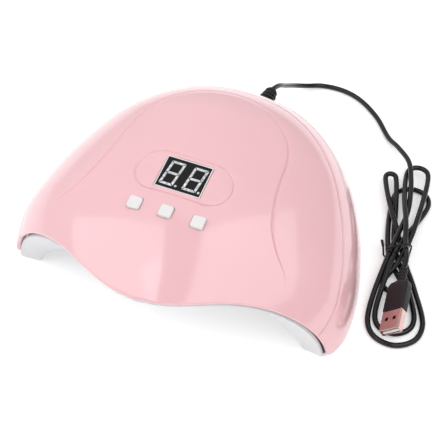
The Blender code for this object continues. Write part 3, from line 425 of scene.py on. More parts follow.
def resample(points, count):
    points = np.asarray(points, dtype=float)
    run = np.concatenate([[0.0], np.cumsum(np.linalg.norm(np.diff(points, axis=0), axis=1))])
    wanted = np.linspace(0.0, run[-1], count + 1)
    return np.stack([np.interp(wanted, run, points[:, i]) for i in range(points.shape[1])], axis=1)


def quadratic(start, middle, end, t):
    return (1 - t) ** 2 * start + 2 * t * (1 - t) * middle + t**2 * end


def unit(vectors):
    return vectors / np.linalg.norm(vectors, axis=1, keepdims=True)


def along_surface(vectors, normals):
    """Unit vectors laid flat on the surface that has these normals."""
    return unit(vectors - normals * np.sum(vectors * normals, axis=1, keepdims=True))


def standing(point, axis):
    """A frame at the point with its z along the axis."""
    return Matrix.Translation(point) @ axis.normalized().to_track_quat("Z", "Y").to_matrix().to_4x4()


# Dome formula, on numpy arrays.
def arch(share, height, power):
    """Height over a span, at a share of its half width, under an arch of the given power."""
    return height * np.clip(1 - np.clip(share, 0.0, 1.0) ** power, 0.0, 1.0) ** (1 / power)


def crown_height(y):
    fore = np.clip(CROWN_Y - y, 0.0, None) / (CROWN_Y - VISOR_TIP_Y)
    aft = np.clip((y - CROWN_Y) / (BACK_Y - CROWN_Y), 0.0, 1.0)
    front = HEIGHT - (HEIGHT - VISOR_TIP_Z) * fore**FRONT_SLOPE_POWER
    back = HEIGHT * (1 - aft**BACK_INNER_POWER) ** (1 / BACK_OUTER_POWER)
    return np.where(y < CROWN_Y, front, back)


def plan_half_width(y):
    reach = np.where(y < WIDEST_Y, PLAN_FRONT_REACH, BACK_Y - WIDEST_Y)
    power = np.where(y < WIDEST_Y, PLAN_FRONT_POWER, PLAN_BACK_POWER)
    return arch(np.abs(y - WIDEST_Y) / reach, HALF_WIDTH, power)


def section_power(y):
    share = np.clip((y - VISOR_TIP_Y) / (BACK_Y - VISOR_TIP_Y), 0.0, 1.0)
    return SECTION_FRONT_POWER + (SECTION_BACK_POWER - SECTION_FRONT_POWER) * share


def dome_z(x, y):
    return arch(np.abs(x) / np.maximum(plan_half_width(y), 1e-9), crown_height(y), section_power(y))


def dome_x(y, z):
    return arch(z / np.maximum(crown_height(y), 1e-9), plan_half_width(y), section_power(y))


def dome_section(y):
    """Half width, height and power of the dome's cross section."""
    return np.maximum(plan_half_width(y), 1e-6), np.maximum(crown_height(y), 1e-6), section_power(y)


def dome_field(x, y, z):
    half, high, power = dome_section(y)
    return (np.abs(x) / half) ** power + (np.clip(z, 0, None) / high) ** power - 1


def dome_normals(points):
    """Outward unit normals of the dome at points near its surface."""
    x, y, z = points[..., 0], points[..., 1], points[..., 2]
    half, high, power = dome_section(y)
    nx = power * np.abs(x) ** (power - 1) * np.sign(x) / half**power
    nz = power * np.clip(z, 0, None) ** (power - 1) / high**power
    step = 0.05
    y_in = np.clip(y, VISOR_TIP_Y + 1, BACK_Y - 0.6)
    ny = (dome_field(x, y_in + step, z) - dome_field(x, y_in - step, z)) / (2 * step)
    normals = np.stack([nx, ny, nz], axis=-1)
    return normals / np.maximum(np.linalg.norm(normals, axis=-1, keepdims=True), 1e-12)


# Fine shells.
def rim_half(front_steps, side_steps, corner):
    """The shell's lower edge on the +x side: visor, rounded foot corner, then the outline on the table."""
    turn = np.linspace(0.0, math.pi / 2, 1500)
    lip_y = VISOR_TIP_Y * (1 - np.sin(turn) ** (2 / VISOR_REACH_POWER))
    lip_z = VISOR_TIP_Z * np.cos(turn) ** (2 / VISOR_RISE_POWER)
    lip = np.stack([dome_x(lip_y, lip_z), lip_y, lip_z], axis=1)
    lip[0, 0] = 0.0
    ground_y = BACK_Y * np.sin(turn)
    ground = np.stack([plan_half_width(ground_y), ground_y, np.zeros_like(turn)], axis=1)
    ground[-1, 0] = 0.0
    if corner:
        last = len(lip) - 1 - trim_index(lip[::-1], corner)
        first = trim_index(ground, corner)
        bend = quadratic(lip[last], lip[-1], ground[first], np.linspace(0.0, 1.0, 60)[1:-1, None])
        bend[:, 0] = dome_x(bend[:, 1], bend[:, 2])
        lip = np.concatenate([lip[:last + 1], bend[:29]])
        ground = np.concatenate([bend[28:], ground[first:]])
    return np.concatenate([resample(lip, front_steps), resample(ground, side_steps)[1:]])


def trim_index(points, length):
    run = np.cumsum(np.linalg.norm(np.diff(points, axis=0), axis=1))
    return int(np.searchsorted(run, length)) + 1


def mirrored_loop(half):
    return np.concatenate([half, half[-2:0:-1] * np.array([-1.0, 1.0, 1.0])])


def window_radius(turn):
    """Distance from the display's centre to its window edge, in plan."""
    half_u = DISPLAY_SIZE[0] / 2 + GAP
    half_v = (DISPLAY_SIZE[1] / 2 + GAP) * math.cos(PANEL_TILT)
    across, along = np.abs(np.cos(turn)) / half_u, np.abs(np.sin(turn)) / half_v
    return (across**WINDOW_SHARPNESS + along**WINDOW_SHARPNESS) ** (-1 / WINDOW_SHARPNESS)


def pill_radius(turn):
    u, v = np.abs(np.cos(turn)), np.abs(np.sin(turn)) / math.cos(PANEL_TILT)
    half = PILL_HALF_LENGTH - PILL_RADIUS
    straight = PILL_RADIUS / np.maximum(v, 1e-9)
    long_sq = u**2 + v**2
    inside = np.clip((half * u) ** 2 - long_sq * (half**2 - PILL_RADIUS**2), 0, None)
    round_end = (half * u + np.sqrt(inside)) / long_sq
    return np.where(straight * u <= half, straight, round_end)


def petal_radius(turn, rim_radius):
    """Distance to the raised petal's outline, and how strongly it is raised there, from 0 to 1."""
    points = catmull_rom([(-x, y) for x, y in PETAL_OUTLINE[1:3]][::-1] + list(PETAL_OUTLINE), 30)
    points = points[points[:, 0] >= -1e-6]
    polar = np.arctan2(points[:, 1] - PANEL_Y, points[:, 0])
    radius = np.hypot(points[:, 0], points[:, 1] - PANEL_Y)
    order = np.argsort(polar)
    side = np.where(np.cos(turn) >= 0, 1.0, -1.0)
    folded = np.arctan2(np.sin(turn), np.cos(turn) * side)
    found = np.interp(folded, polar[order], radius[order])
    limit = rim_radius * PETAL_LIMIT
    blended = -np.log(np.exp(-found / 4) + np.exp(-limit / 4)) * 4
    return blended, smooth_step((folded - polar.min()) / PETAL_FADE)


def catmull_rom(points, steps):
    p = np.array(points, dtype=float)
    p = np.concatenate([[2 * p[0] - p[1]], p, [2 * p[-1] - p[-2]]])
    out = []
    for i in range(1, len(p) - 2):
        t = np.linspace(0, 1, steps, endpoint=False)[:, None]
        a, b, c, d = p[i - 1], p[i], p[i + 1], p[i + 2]
        out.append(0.5 * (2 * b + (c - a) * t + (2 * a - 5 * b + 4 * c - d) * t**2
                          + (3 * b - a - 3 * c + d) * t**3))
    out.append(p[-2][None])
    return np.concatenate(out)


def on_dome(radii, turn):
    """Points of the dome at these distances, in plan, from the display's centre along each column's ray."""
    x = radii * np.cos(turn)[:, None]
    y = PANEL_Y + radii * np.sin(turn)[:, None]
    return np.stack([x, y, dome_z(x, y)], axis=-1)


def even_radii(turn, start, end, steps, cut_back=0.0):
    """Radii between start and end at equal distances along the dome, for each column's ray."""
    share = np.sin(np.linspace(0.0, math.pi / 2, 400))
    table = start[:, None] + (end - start)[:, None] * share[None]
    z = on_dome(table, turn)[..., 2]
    run = np.sqrt(np.diff(table, axis=1) ** 2 + np.diff(z, axis=1) ** 2).cumsum(axis=1)
    run = np.concatenate([np.zeros((len(turn), 1)), run], axis=1)
    return np.array([np.interp(np.linspace(0, there[-1] - cut_back, steps + 1), there, radii)
                     for there, radii in zip(run, table)])


def smooth_step(value):
    value = np.clip(value, 0.0, 1.0)
    return value * value * (3 - 2 * value)


def relief_height(radii, window, pill, petal, raised):
    """How far the surface stands off the plain dome: petal step and groove, pill groove, window edge."""
    beyond = radii - petal
    lift = PETAL_RISE * (1 - smooth_step(beyond / (2 * PETAL_STEP) + 0.5))
    lift *= np.exp(np.minimum(beyond, 0.0) / PETAL_FALL)
    lift -= PETAL_GROOVE_DEPTH * np.exp(-(beyond / PETAL_GROOVE_WIDTH) ** 2)
    lift *= raised
    lift -= PILL_GROOVE_DEPTH * np.exp(-((radii - pill) / PILL_GROOVE_WIDTH) ** 2)
    return lift - WINDOW_DROP * np.clip(1 - (radii - window) / WINDOW_ROWS[-1], 0, 1) ** 2.5


def shell_grid(rim):
    """The whole shell as a closed grid: columns round the rim, each a closed loop through the wall."""
    turn = np.arctan2(rim[:, 1] - PANEL_Y, rim[:, 0])
    rim_r = np.hypot(rim[:, 0], rim[:, 1] - PANEL_Y)
    window, pill = window_radius(turn), pill_radius(turn)
    petal, raised = petal_radius(turn, rim_r)
    radii = np.concatenate([
        window[:, None] + WINDOW_ROWS,
        even_radii(turn, window + WINDOW_ROWS[-1], pill + PILL_ROWS[0], 4)[:, 1:-1],
        pill[:, None] + PILL_ROWS,
        even_radii(turn, pill + PILL_ROWS[-1], petal - PETAL_STEP, 26)[:, 1:-1],
        petal[:, None] + PETAL_ROWS,
        even_radii(turn, petal + PETAL_STEP, rim_r, 44, LIP_ROUND)[:, 1:],
    ], axis=1)
    outer = on_dome(radii, turn)
    lift = relief_height(radii, *[edge[:, None] for edge in (window, pill, petal, raised)])
    outer = outer + dome_normals(outer) * lift[..., None]

    normals = dome_normals(rim)
    outward = along_surface(rim - outer[:, -1], normals)
    centre = rim - outward * LIP_ROUND - normals * WALL / 2
    lip = np.stack([centre + normals * WALL / 2 * math.cos(t) + outward * LIP_ROUND * math.sin(t)
                    for t in np.linspace(0, math.pi, 11)[1:]], axis=1)

    inner = on_dome(even_radii(turn, window + 0.2, rim_r, INNER_ROWS - 1, LIP_ROUND + 1.2)[:, ::-1], turn)
    inner = inner - dome_normals(inner) * WALL
    grid = np.concatenate([outer, lip, inner], axis=1)
    grid[..., 2] += SHELL_LIFT
    return grid


def bisect(shaped, where, normal, **clear):
    bmesh.ops.bisect_plane(shaped, geom=shaped.verts[:] + shaped.edges[:] + shaped.faces[:], dist=1e-7,
                           plane_co=where * MM, plane_no=normal, **clear)


def trimmed_at_seam(name, verts, faces, side):
    """One side of the shell, with its cut closed and its outer edge eased."""
    mesh = to_mesh(name, verts, faces)
    start = SEAM_MIDDLE + SEAM_UP * side * SEAM_WIDTH / 2
    with edited(mesh) as shaped:
        for reach in SEAM_EASE:
            bisect(shaped, start + SEAM_UP * side * reach, SEAM_UP,
                   clear_inner=reach == 0.0 and side > 0, clear_outer=reach == 0.0 and side < 0)
        open_edges = [e for e in shaped.edges if e.is_boundary]
        bmesh.ops.triangle_fill(shaped, use_beauty=True, use_dissolve=False, edges=open_edges)
        bmesh.ops.recalc_face_normals(shaped, faces=shaped.faces)
    points = np.empty(len(mesh.vertices) * 3)
    mesh.vertices.foreach_get("co", points)
    points = points.reshape(-1, 3) / MM
    away = (points - np.array(start)) @ np.array(SEAM_UP) * side
    flat = points - np.array([0, 0, SHELL_LIFT])
    normals = dome_normals(flat)
    depth = (dome_z(flat[:, 0], flat[:, 1]) - flat[:, 2]) * normals[:, 2]
    drop = SEAM_DROP * np.clip(1 - away / SEAM_EASE[-1], 0, 1) ** 2
    points -= normals * (drop * (depth < WALL * 0.4))[:, None]
    mesh.vertices.foreach_set("co", (points * MM).ravel())
    mesh.update()
    return add_object(name, mesh)


# Control panel.
def panel_frame():
    origin = Vector((0.0, PANEL_Y, SHELL_LIFT + float(crown_height(PANEL_Y)) - PANEL_SINK))
    return Matrix.Translation(origin) @ Matrix.Rotation(PANEL_TILT, 4, "X")


def cover_height_on_panel(u, v):
    place = panel_frame()
    height = 0.0
    for _ in range(8):
        point = place @ Vector((u, v, height))
        height += (SHELL_LIFT + float(dome_z(point.x, point.y)) - point.z) * math.cos(PANEL_TILT)
    return height


def button_holes():
    place = panel_frame()
    parts = []
    for index in BUTTONS.values():
        centre = (index * BUTTON_PITCH, BUTTON_ROW_V)
        top = cover_height_on_panel(*centre)
        size, wide = BUTTON_SIZE + HOLE_PLAY, BUTTON_SIZE + HOLE_PLAY + HOLE_CHAMFER
        levels = [(size, -6.0), (size, top - 0.25), (wide, top + 0.05), (wide, top + 3.0)]
        outlines = [(rounded_rectangle(s, s, BUTTON_CORNER + GAP + (s - size) / 2, 6, centre), z)
                    for s, z in levels]
        parts.append(stacked(outlines, place))
    return joined(parts)


def add_seam_lip(cover, grid):
    """A thin band on the inside of the rear cover, behind the seam, so nothing shows through the gap."""
    raised = np.array([0.0, 0.0, SHELL_LIFT])
    sheet = grid[:, LIP_FIRST_ROW - INNER_ROWS:] - raised
    sheet = sheet - dome_normals(sheet) * 0.1 + raised
    columns, rows = sheet.shape[:2]
    faces = [(c * rows + r, c * rows + r + 1, (c + 1) % columns * rows + r + 1, (c + 1) % columns * rows + r)
             for c in range(columns) for r in range(rows - 1)]
    mesh = to_mesh("seam_lip", sheet.reshape(-1, 3), faces)
    with edited(mesh) as band:
        for side in (-1, 1):
            bisect(band, SEAM_MIDDLE + SEAM_UP * side * LIP_REACH, SEAM_UP * side, clear_outer=True)
    lip = add_object("seam_lip", mesh)
    thicken(lip, LIP_WALL, -1.0)
    with edited(cover.data) as both:
        both.from_mesh(lip.data)
    bpy.data.objects.remove(lip, do_unlink=True)


def build_shells():
    rim = mirrored_loop(rim_half(110, 125, RIM_ROUND))
    grid = shell_grid(rim)
    verts = grid.reshape(-1, 3)
    faces = torus_faces(*grid.shape[:2])
    top = trimmed_at_seam("top_cover_shell", verts, faces, 1)
    cut(top, button_holes())
    present(top, "pink", "top_cover", 32)
    rear = trimmed_at_seam("rear_cover_shell", verts, faces, -1)
    cut(rear, prism(circle(CORD_HOLE, 48), -12.0, 16.0, exit_frame()))
    add_seam_lip(rear, grid)
    present(rear, "pink", "rear_cover", 32)


def segment_outlines(grow):
    """Bars with mitred ends that nearly meet in square corners, and the dots, each widened by grow."""
    half_w, half_h = DIGIT_SIZE[0] / 2, DIGIT_SIZE[1] / 2
    thick = SEGMENT_WIDTH / 2
    split = SEGMENT_SPLIT / 2 - grow
    mitre = split * 1.4
    out_w, in_w = half_w + thick, half_w - thick
    shapes = []
    for sign in (-1, 1):
        far, near = sign * (half_h + thick + grow), sign * (half_h - thick - grow)
        shapes.append([(-out_w + mitre, far), (out_w - mitre, far), (in_w - split, near),
                       (-in_w + split, near)])
        for side in (-1, 1):
            bar = [(out_w + grow, half_h + thick - mitre), (out_w + grow, split), (half_w, split),
                   (in_w - grow, thick + split), (in_w - grow, half_h - thick - split)]
            shapes.append([(side * x, sign * y) for x, y in bar])
    reach, slim = half_w - split, thick + grow
    shapes.append([(-reach, 0.0), (-reach + thick, -slim), (reach - thick, -slim), (reach, 0.0),
                   (reach - thick, slim), (-reach + thick, slim)])
    outlines = []
    for digit in (-0.5, 0.5):
        for shape in shapes:
            leaned = [(digit * DIGIT_PITCH + x + y * math.tan(DIGIT_SLANT), y) for x, y in shape]
            area = sum(a[0] * b[1] - b[0] * a[1] for a, b in zip(leaned, leaned[1:] + leaned[:1]))
            outlines.append(leaned if area > 0 else leaned[::-1])
        dot = (digit * DIGIT_PITCH + half_w + 1.25, -half_h)
        outlines.append(circle(DOT_RADIUS + grow, 24, dot))
    return outlines


def build_display():
    """A pale case round a black face whose slots show the segment bars."""
    width, depth, height = DISPLAY_SIZE
    place = panel_frame()
    case = loose("display_case", *prism(rounded_rectangle(width, depth, 0.35, 3), -height, 0.0, place))
    window = rounded_rectangle(width - 2 * BEZEL, depth - 2 * BEZEL, 0.2, 3)
    cut(case, prism(window, -height - 1.0, 1.0, place))
    present(case, "button", "display_housing")
    face = loose("display_face", *prism(window, -2.0, -0.06, place))
    cut(face, joined([prism(outline, -2.5, 0.5, place) for outline in segment_outlines(0.0)]))
    present(face, "display", "display_housing")
    plate = prism(rounded_rectangle(width - 2.0, depth - 2.0, 0.3, 2), -height + 0.5, -2.3, place)
    potting = loose("display_segment_block", *plate)
    cut(potting, joined([prism(outline, -2.4, -0.12, place) for outline in segment_outlines(-0.04)]), "UNION")
    present(potting, "segment", "display_segments")


def build_buttons():
    """Caps with softly rounded edges and a slightly dished top, on a flange under the cover."""
    place = panel_frame()
    for name, index in BUTTONS.items():
        u = index * BUTTON_PITCH
        top = cover_height_on_panel(u, BUTTON_ROW_V) + BUTTON_PROUD
        foot = BOARD_TOP_W + GAP + SWITCH_HEIGHT + PLUNGER_REACH
        levels = [(BUTTON_SIZE + 2.0, foot, 1.0), (BUTTON_SIZE + 2.0, foot + 0.8, 1.0),
                  (BUTTON_SIZE, foot + 0.9, 1.3)]
        for step in range(9):
            turn = math.pi / 2 * step / 8
            inset = BUTTON_SOFTNESS * (1 - math.cos(turn))
            level = top - BUTTON_SOFTNESS + BUTTON_SOFTNESS * math.sin(turn)
            levels.append((BUTTON_SIZE - 2 * inset, level, BUTTON_CORNER - inset * 0.5))
        levels += [(BUTTON_SIZE - 3.2, top - 0.06, 0.9), (BUTTON_SIZE - 5.2, top - 0.12, 0.7)]
        outlines = [(rounded_rectangle(s, s, r, 6, (u, BUTTON_ROW_V)), z) for s, z, r in levels]
        cap = loose(f"button_cap_{name}", *stacked(outlines, place))
        present(cap, "button", f"button_{name}", 40, f"{name}_button")


# Liner.
def cavity_half_width(y):
    near = (CAVITY_WIDEST_Y - y) / (CAVITY_WIDEST_Y - LINER_FACE_Y)
    far = np.clip((y - CAVITY_WIDEST_Y) / (CAVITY_BACK_Y - CAVITY_WIDEST_Y), 0, 1)
    front = CAVITY_HALF_WIDTH - (CAVITY_HALF_WIDTH - ARCH_HALF_WIDTH) * near**2
    return np.where(y < CAVITY_WIDEST_Y, front, CAVITY_HALF_WIDTH * np.sqrt(1 - far**2))


def cavity_crown(y):
    near = (CAVITY_CROWN_Y - y) / (CAVITY_CROWN_Y - LINER_FACE_Y)
    far = np.clip((y - CAVITY_CROWN_Y) / (CAVITY_BACK_Y - CAVITY_CROWN_Y), 0, 1)
    front = CAVITY_HEIGHT - (CAVITY_HEIGHT - ARCH_HEIGHT) * near**2
    return np.where(y < CAVITY_CROWN_Y, front, CAVITY_HEIGHT * (1 - far**CAVITY_BACK_POWER) ** (1 / 1.8))


def cavity_power(y):
    share = np.clip((y - LINER_FACE_Y) / (CAVITY_CROWN_Y - LINER_FACE_Y), 0.0, 1.0)
    return ARCH_POWER + (2.3 - ARCH_POWER) * share


def cavity_z(x, y):
    return arch(np.abs(x) / np.maximum(cavity_half_width(y), 1e-9), cavity_crown(y), cavity_power(y))


def cavity_point(y, degrees):
    power = float(cavity_power(y))
    c, s = math.cos(math.radians(degrees)), math.sin(math.radians(degrees))
    x = float(cavity_half_width(y)) * math.copysign(abs(c) ** (2 / power), c)
    point = Vector((x, y, float(cavity_crown(y)) * s ** (2 / power) + FLANGE_Z))
    rise_x = float(cavity_z(x + 0.5, y) - cavity_z(x - 0.5, y))
    rise_y = float(cavity_z(x, y + 0.5) - cavity_z(x, y - 0.5))
    return point, Vector((-rise_x, -rise_y, 1.0)).normalized()


def led_spots():
    return [cavity_point(y, degrees) for y in LED_ROWS_Y for degrees in LED_ANGLES]


def ceiling_screw_spots():
    return [cavity_point(y, degrees) for y in (44.0, 76.0) for degrees in (60.0, 120.0)]


def liner_edges(front_steps, side_steps):
    """The cavity's mouth and the liner's outer edge as matching closed loops."""
    turn = np.linspace(0.0, math.pi / 2, 1500)
    arch = np.stack([ARCH_HALF_WIDTH * np.sin(turn) ** (2 / ARCH_POWER), np.full_like(turn, LINER_FACE_Y),
                     ARCH_HEIGHT * np.cos(turn) ** (2 / ARCH_POWER)], axis=1)
    base_y = LINER_FACE_Y + (CAVITY_BACK_Y - LINER_FACE_Y) * np.sin(turn)
    base = np.stack([cavity_half_width(base_y), base_y, np.zeros_like(turn)], axis=1)
    base[-1, 0] = 0.0
    mouth = np.concatenate([resample(arch, front_steps), resample(base, side_steps)[1:]])
    rim = rim_half(front_steps, side_steps, 0.0)
    normals = dome_normals(rim)
    toward = np.array([0.0, PANEL_Y, 0.0]) - rim
    toward[:, 2] = 0.0
    toward = along_surface(unit(toward), normals)
    high = np.clip((rim[:, 2] - 18.0) / 25.0, 0.0, 1.0)[:, None]
    edge = rim - (WALL + LINER_GAP + high * LINER_GAP_UP_FRONT) * normals
    front = rim[:, 1] < -1e-6
    edge[front] += LINER_SETBACK * toward[front]
    edge[:, 2] += SHELL_LIFT
    edge[~front, 2] = FLANGE_Z
    corner = np.flatnonzero(~front)[0]
    edge[corner, 1] = LINER_FACE_Y
    mouth[:, 2] += FLANGE_Z
    return mirrored_loop(mouth), mirrored_loop(edge)


def build_liner():
    mouth, edge = liner_edges(70, 80)
    share = np.sin(np.linspace(0.0, math.pi / 2, 400))
    columns = []
    for (mx, my, mz), outer in zip(mouth, edge):
        x = mx * share
        y = CAVITY_CENTRE_Y + (my - CAVITY_CENTRE_Y) * share
        ceiling = np.stack([x, y, cavity_z(x, y) + FLANGE_Z], axis=1)
        ceiling[-1] = (mx, my, mz)
        run = np.linalg.norm(ceiling - ceiling[-1], axis=1)
        last = int(np.flatnonzero(run > LINER_FILLET)[-1])
        band = outer - ceiling[-1]
        end = ceiling[-1] + band * LINER_FILLET / np.linalg.norm(band)
        bend = quadratic(ceiling[last], ceiling[-1], end, np.linspace(0, 1, 7)[1:-1, None])
        flat = end + (outer - end) * np.linspace(0, 1, 13)[:, None]
        columns.append(np.concatenate([resample(ceiling[:last + 1], 44), bend, flat]))
    grid = np.array(columns)
    rows = grid.shape[1]
    verts = [grid[0, 0]] + list(grid[:, 1:].reshape(-1, 3))
    count = len(grid)

    def at(c, r):
        return 0 if r == 0 else 1 + (c % count) * (rows - 1) + r - 1

    faces = [(at(c, 0), at(c, 1), at(c + 1, 1)) for c in range(count)]
    faces += [(at(c, r), at(c, r + 1), at(c + 1, r + 1), at(c + 1, r))
              for c in range(count) for r in range(1, rows - 1)]
    liner = loose("reflector_liner_shell", verts, faces)
    thicken(liner, LINER_WALL, 1.0)
    holes = [prism(circle(LED_RADIUS + GAP, 36), -3.0, 5.0, standing(*spot)) for spot in led_spots()]
    holes += [prism(circle(SCREW_HOLE, 24), -3.0, 5.0, standing(*spot)) for spot in ceiling_screw_spots()]
    holes += [prism(circle(SCREW_HOLE, 24, spot), 0.0, 6.0) for spot in SKIRT_SCREWS]
    cut(liner, joined(holes))
    present(liner, "liner", "inner_liner", 30)


def build_leds():
    dome = [(LED_RADIUS * math.cos(t), 0.2 - 0.8 * math.sin(t)) for t in np.linspace(0.15, math.pi / 2, 8)]
    profile = [(0.0, dome[-1][1])] + dome[-2::-1]
    profile += [(LED_RADIUS, 0.4), (LED_RADIUS, LINER_WALL + 0.3), (0.0, LINER_WALL + 0.3)]
    for number, spot in enumerate(led_spots(), 1):
        bead = loose(f"led_lens_{number:02d}", *lathe(profile, 32, standing(*spot)))
        present(bead, "led", f"led_bead_{number:02d}", 50)


def add_screw(kind, index, length, place):
    """A pan-head screw with a cross recess and a few threads."""
    core, head = SCREW_SHANK * 0.82, SCREW_HEAD
    profile = [(0.0, -length), (SCREW_SHANK * 0.3, -length)]
    for i in range(int((length - 1.5) / THREAD_PITCH)):
        z = -length + THREAD_PITCH + i * THREAD_PITCH
        profile += [(core, z), (SCREW_SHANK, z + THREAD_PITCH / 2)]
    profile += [(core, -0.3), (SCREW_SHANK, 0.0), (head * 0.97, 0.0), (head, 0.15)]
    profile += [(head * math.cos(t), 0.35 + 0.95 * math.sin(t)) for t in np.linspace(0.1, 1.25, 7)]
    profile += [(0.0, 1.3)]
    screw = loose(f"{kind}_screw_head_{index}", *lathe(profile, 28, place))
    for size in ((head * 1.15, 0.55), (0.55, head * 1.15)):
        cut(screw, prism(rounded_rectangle(*size, 0.15, 1), 0.55, 2.0, place))
    present(screw, "steel", f"{kind}_screw_{index}")


def build_fasteners():
    down = Matrix.Rotation(math.pi, 4, "X")
    for index, (x, y) in enumerate(SKIRT_SCREWS, 1):
        add_screw("skirt", index, 10.0, Matrix.Translation((x, y, FLANGE_Z - GAP)) @ down)
    for index, (point, normal) in enumerate(ceiling_screw_spots(), 1):
        add_screw("ceiling", index, 11.0, standing(point - normal * 0.9, -normal))
    profile = [(0.0, 0.0), (FOOT_RADIUS - 0.8, 0.0), (FOOT_RADIUS - 0.4, 0.08), (FOOT_RADIUS - 0.1, 0.35),
               (FOOT_RADIUS, 0.7), (FOOT_RADIUS, FLANGE_Z - GAP), (0.0, FLANGE_Z - GAP)]
    for index, (x, y) in enumerate(FEET, 1):
        foot = loose(f"foot_pad_{index}", *lathe(profile, 40, Matrix.Translation((x, y, 0.0))))
        present(foot, "foot", f"rubber_foot_{index}")


# Cord.
def exit_frame():
    """At the cord's hole in the back, with z pointing out of it."""
    return Matrix.Translation(CORD_EXIT) @ Matrix.Rotation(-math.pi / 2, 4, "X")


def bundle_point(u, v, z):
    """A point u along the coil from its waist, v across it and z above the table."""
    (wx, wy), (ax, ay) = BUNDLE_WAIST, BUNDLE_AXIS
    return (wx + ax * u + ay * v, wy + ay * u - ax * v, z)


def lobe(u, v, radius, z, from_right):
    """Half a turn of the cord round (u, v), on the side away from the waist."""
    outward = math.copysign(1.0, u)
    angles = (0, 45, 90, 135, 180) if from_right else (180, 135, 90, 45, 0)
    return [bundle_point(u + outward * radius * math.sin(t), v + radius * math.cos(t), z)
            for t in map(math.radians, angles)]


def cord_controls():
    """The cord's course: from the board's connector, out of the back, round the coil and into the plug."""
    x, y, z = CORD_EXIT
    panel = panel_frame()
    plug_w = BOARD_TOP_W - BOARD_THICKNESS - GAP - CONNECTOR_SIZE[2] / 2
    plug_v = CONNECTOR_SPOT[1] + CONNECTOR_SIZE[1] / 2
    inside = [tuple(panel @ Vector((CONNECTOR_SPOT[0], plug_v + step, plug_w))) for step in (GAP, 9.0)]
    inside += [(-3.0, 72.0, 65.5), (-0.5, 95.0, 58.0), (x, 111.0, 42.0), (x, y - 12.0, z + 2.5),
               (x, y - 6.0, z)]
    outside = [(x, y, z), (x, y + 7.0, z), (x, RELIEF_END_Y, z), (x, RELIEF_END_Y + 3.0, z - 0.7),
               (0.6, 158.0, 27.5), (0.8, 168.0, 19.5), (2.5, 180.0, 10.5), (8.0, 190.0, 4.0)]
    outside += [(15.0, 196.0, CORD_REST), (28.0, 197.0, CORD_REST), (40.0, 193.5, CORD_REST),
                (55.0, 182.5, CORD_REST), (68.0, 167.0, 2.2), (76.5, 158.5, 5.0)]
    low, mid, high = [CORD_REST + CORD_LEVEL * level for level in (0, 1, 2)]
    w_low, w_mid, w_high = low + WAIST_LIFT, mid + WAIST_LIFT, high + WAIST_LIFT
    bundle = [bundle_point(69.5, 4.6, high), bundle_point(55.5, 5.8, high), bundle_point(42.0, 5.2, high),
              bundle_point(26.0, 3.4, w_mid + 1.5), bundle_point(0.0, -3.4, w_mid)]
    ends = (((-46.0, 1.0, 14.3, low, False), (-22.0, 10.6, low), (0.0, 3.6, w_low)),
            ((59.0, -5.2, 2.9, mid, False), (0.0, 0.0, w_low)),
            ((-42.5, 0.4, 10.2, low, True), (0.0, 0.0, w_mid)),
            ((43.8, 7.0, 10.2, low, True), (0.0, -3.6, w_low)),
            ((-18.5, -0.8, 5.6, low, True), (0.0, 3.4, w_mid)),
            ((62.8, 10.2, 6.0, mid, True), (20.0, 4.4, w_high), (4.0, 4.4, w_high)))
    for end, *crossing in ends:
        bundle += lobe(*end) + [bundle_point(*spot) for spot in crossing]
    place = plug_frame()
    entry = [tuple(place @ Vector((0.0, 0.0, -offset))) for offset in (9.0, GAP)]
    return inside + outside + bundle + entry


def between(a, b, start, end, t):
    """The point at t on the line that passes a at start and b at end."""
    return ((end - t) * a + (t - start) * b) / (end - start)


def smooth_path(controls, spacing):
    """A smooth curve through the controls, cut into steps of about the spacing."""
    p = [np.array(c, dtype=float) for c in controls]
    p = [2 * p[0] - p[1]] + p + [2 * p[-1] - p[-2]]
    dense = []
    for i in range(1, len(p) - 2):
        knots = [0.0]
        for a, b in zip(p[i - 1:i + 2], p[i:i + 3]):
            knots.append(knots[-1] + math.sqrt(np.linalg.norm(b - a)))
        for t in np.linspace(knots[1], knots[2], 24, endpoint=False):
            near = [between(p[i - 1 + j], p[i + j], knots[j], knots[j + 1], t) for j in range(3)]
            wide = [between(near[j], near[j + 1], knots[j], knots[j + 2], t) for j in range(2)]
            dense.append(between(*wide, knots[1], knots[2], t))
    dense.append(p[-2])
    length = float(np.sum(np.linalg.norm(np.diff(dense, axis=0), axis=1)))
    return resample(dense, round(length / spacing))


def settle(path, spacing):
    """Pushes strands of the cord apart until none touch, keeping them on or above the table."""
    clearance = 2 * CORD_RADIUS + 0.35
    skip = int(3 * clearance / spacing)
    rest, shift = path.copy(), np.zeros_like(path)
    count = len(path)
    near = np.abs(np.subtract.outer(np.arange(count), np.arange(count))) <= skip
    for _ in range(160):
        here = rest + shift
        apart = here[:, None] - here[None]
        distance = np.linalg.norm(apart, axis=2) + near * 1e3
        push = np.clip(clearance - distance, 0.0, None) / 2
        shift += np.einsum("ij,ijk->ik", push / np.maximum(distance, 1e-3), apart) * 0.5
        shift[1:-1] = 0.5 * shift[1:-1] + 0.25 * (shift[:-2] + shift[2:])
        floor = CORD_RADIUS + 0.05 - (rest[:, 2] + shift[:, 2])
        shift[:, 2] += np.clip(floor, 0.0, None)
        shift[:3], shift[-3:] = 0.0, 0.0
    return rest + shift


def plug_frame():
    start = Vector(bundle_point(-16.2, 3.8, 11.3))
    nose = Vector((117.3, 14.8, 9.0))
    z = (nose - start).normalized()
    x = z.cross(Vector((0, 0, 1))).normalized()
    y = z.cross(x)
    turn = Matrix((x, y, z)).transposed() @ Matrix.Rotation(PLUG_ROLL, 3, "Z")
    return Matrix.Translation(start) @ turn.to_4x4()


def build_cord(path):
    cord = loose("usb_cord_jacket", *tube(catmull_rom(path, 2), CORD_RADIUS, 18))
    present(cord, "cord", "usb_cord", 60)


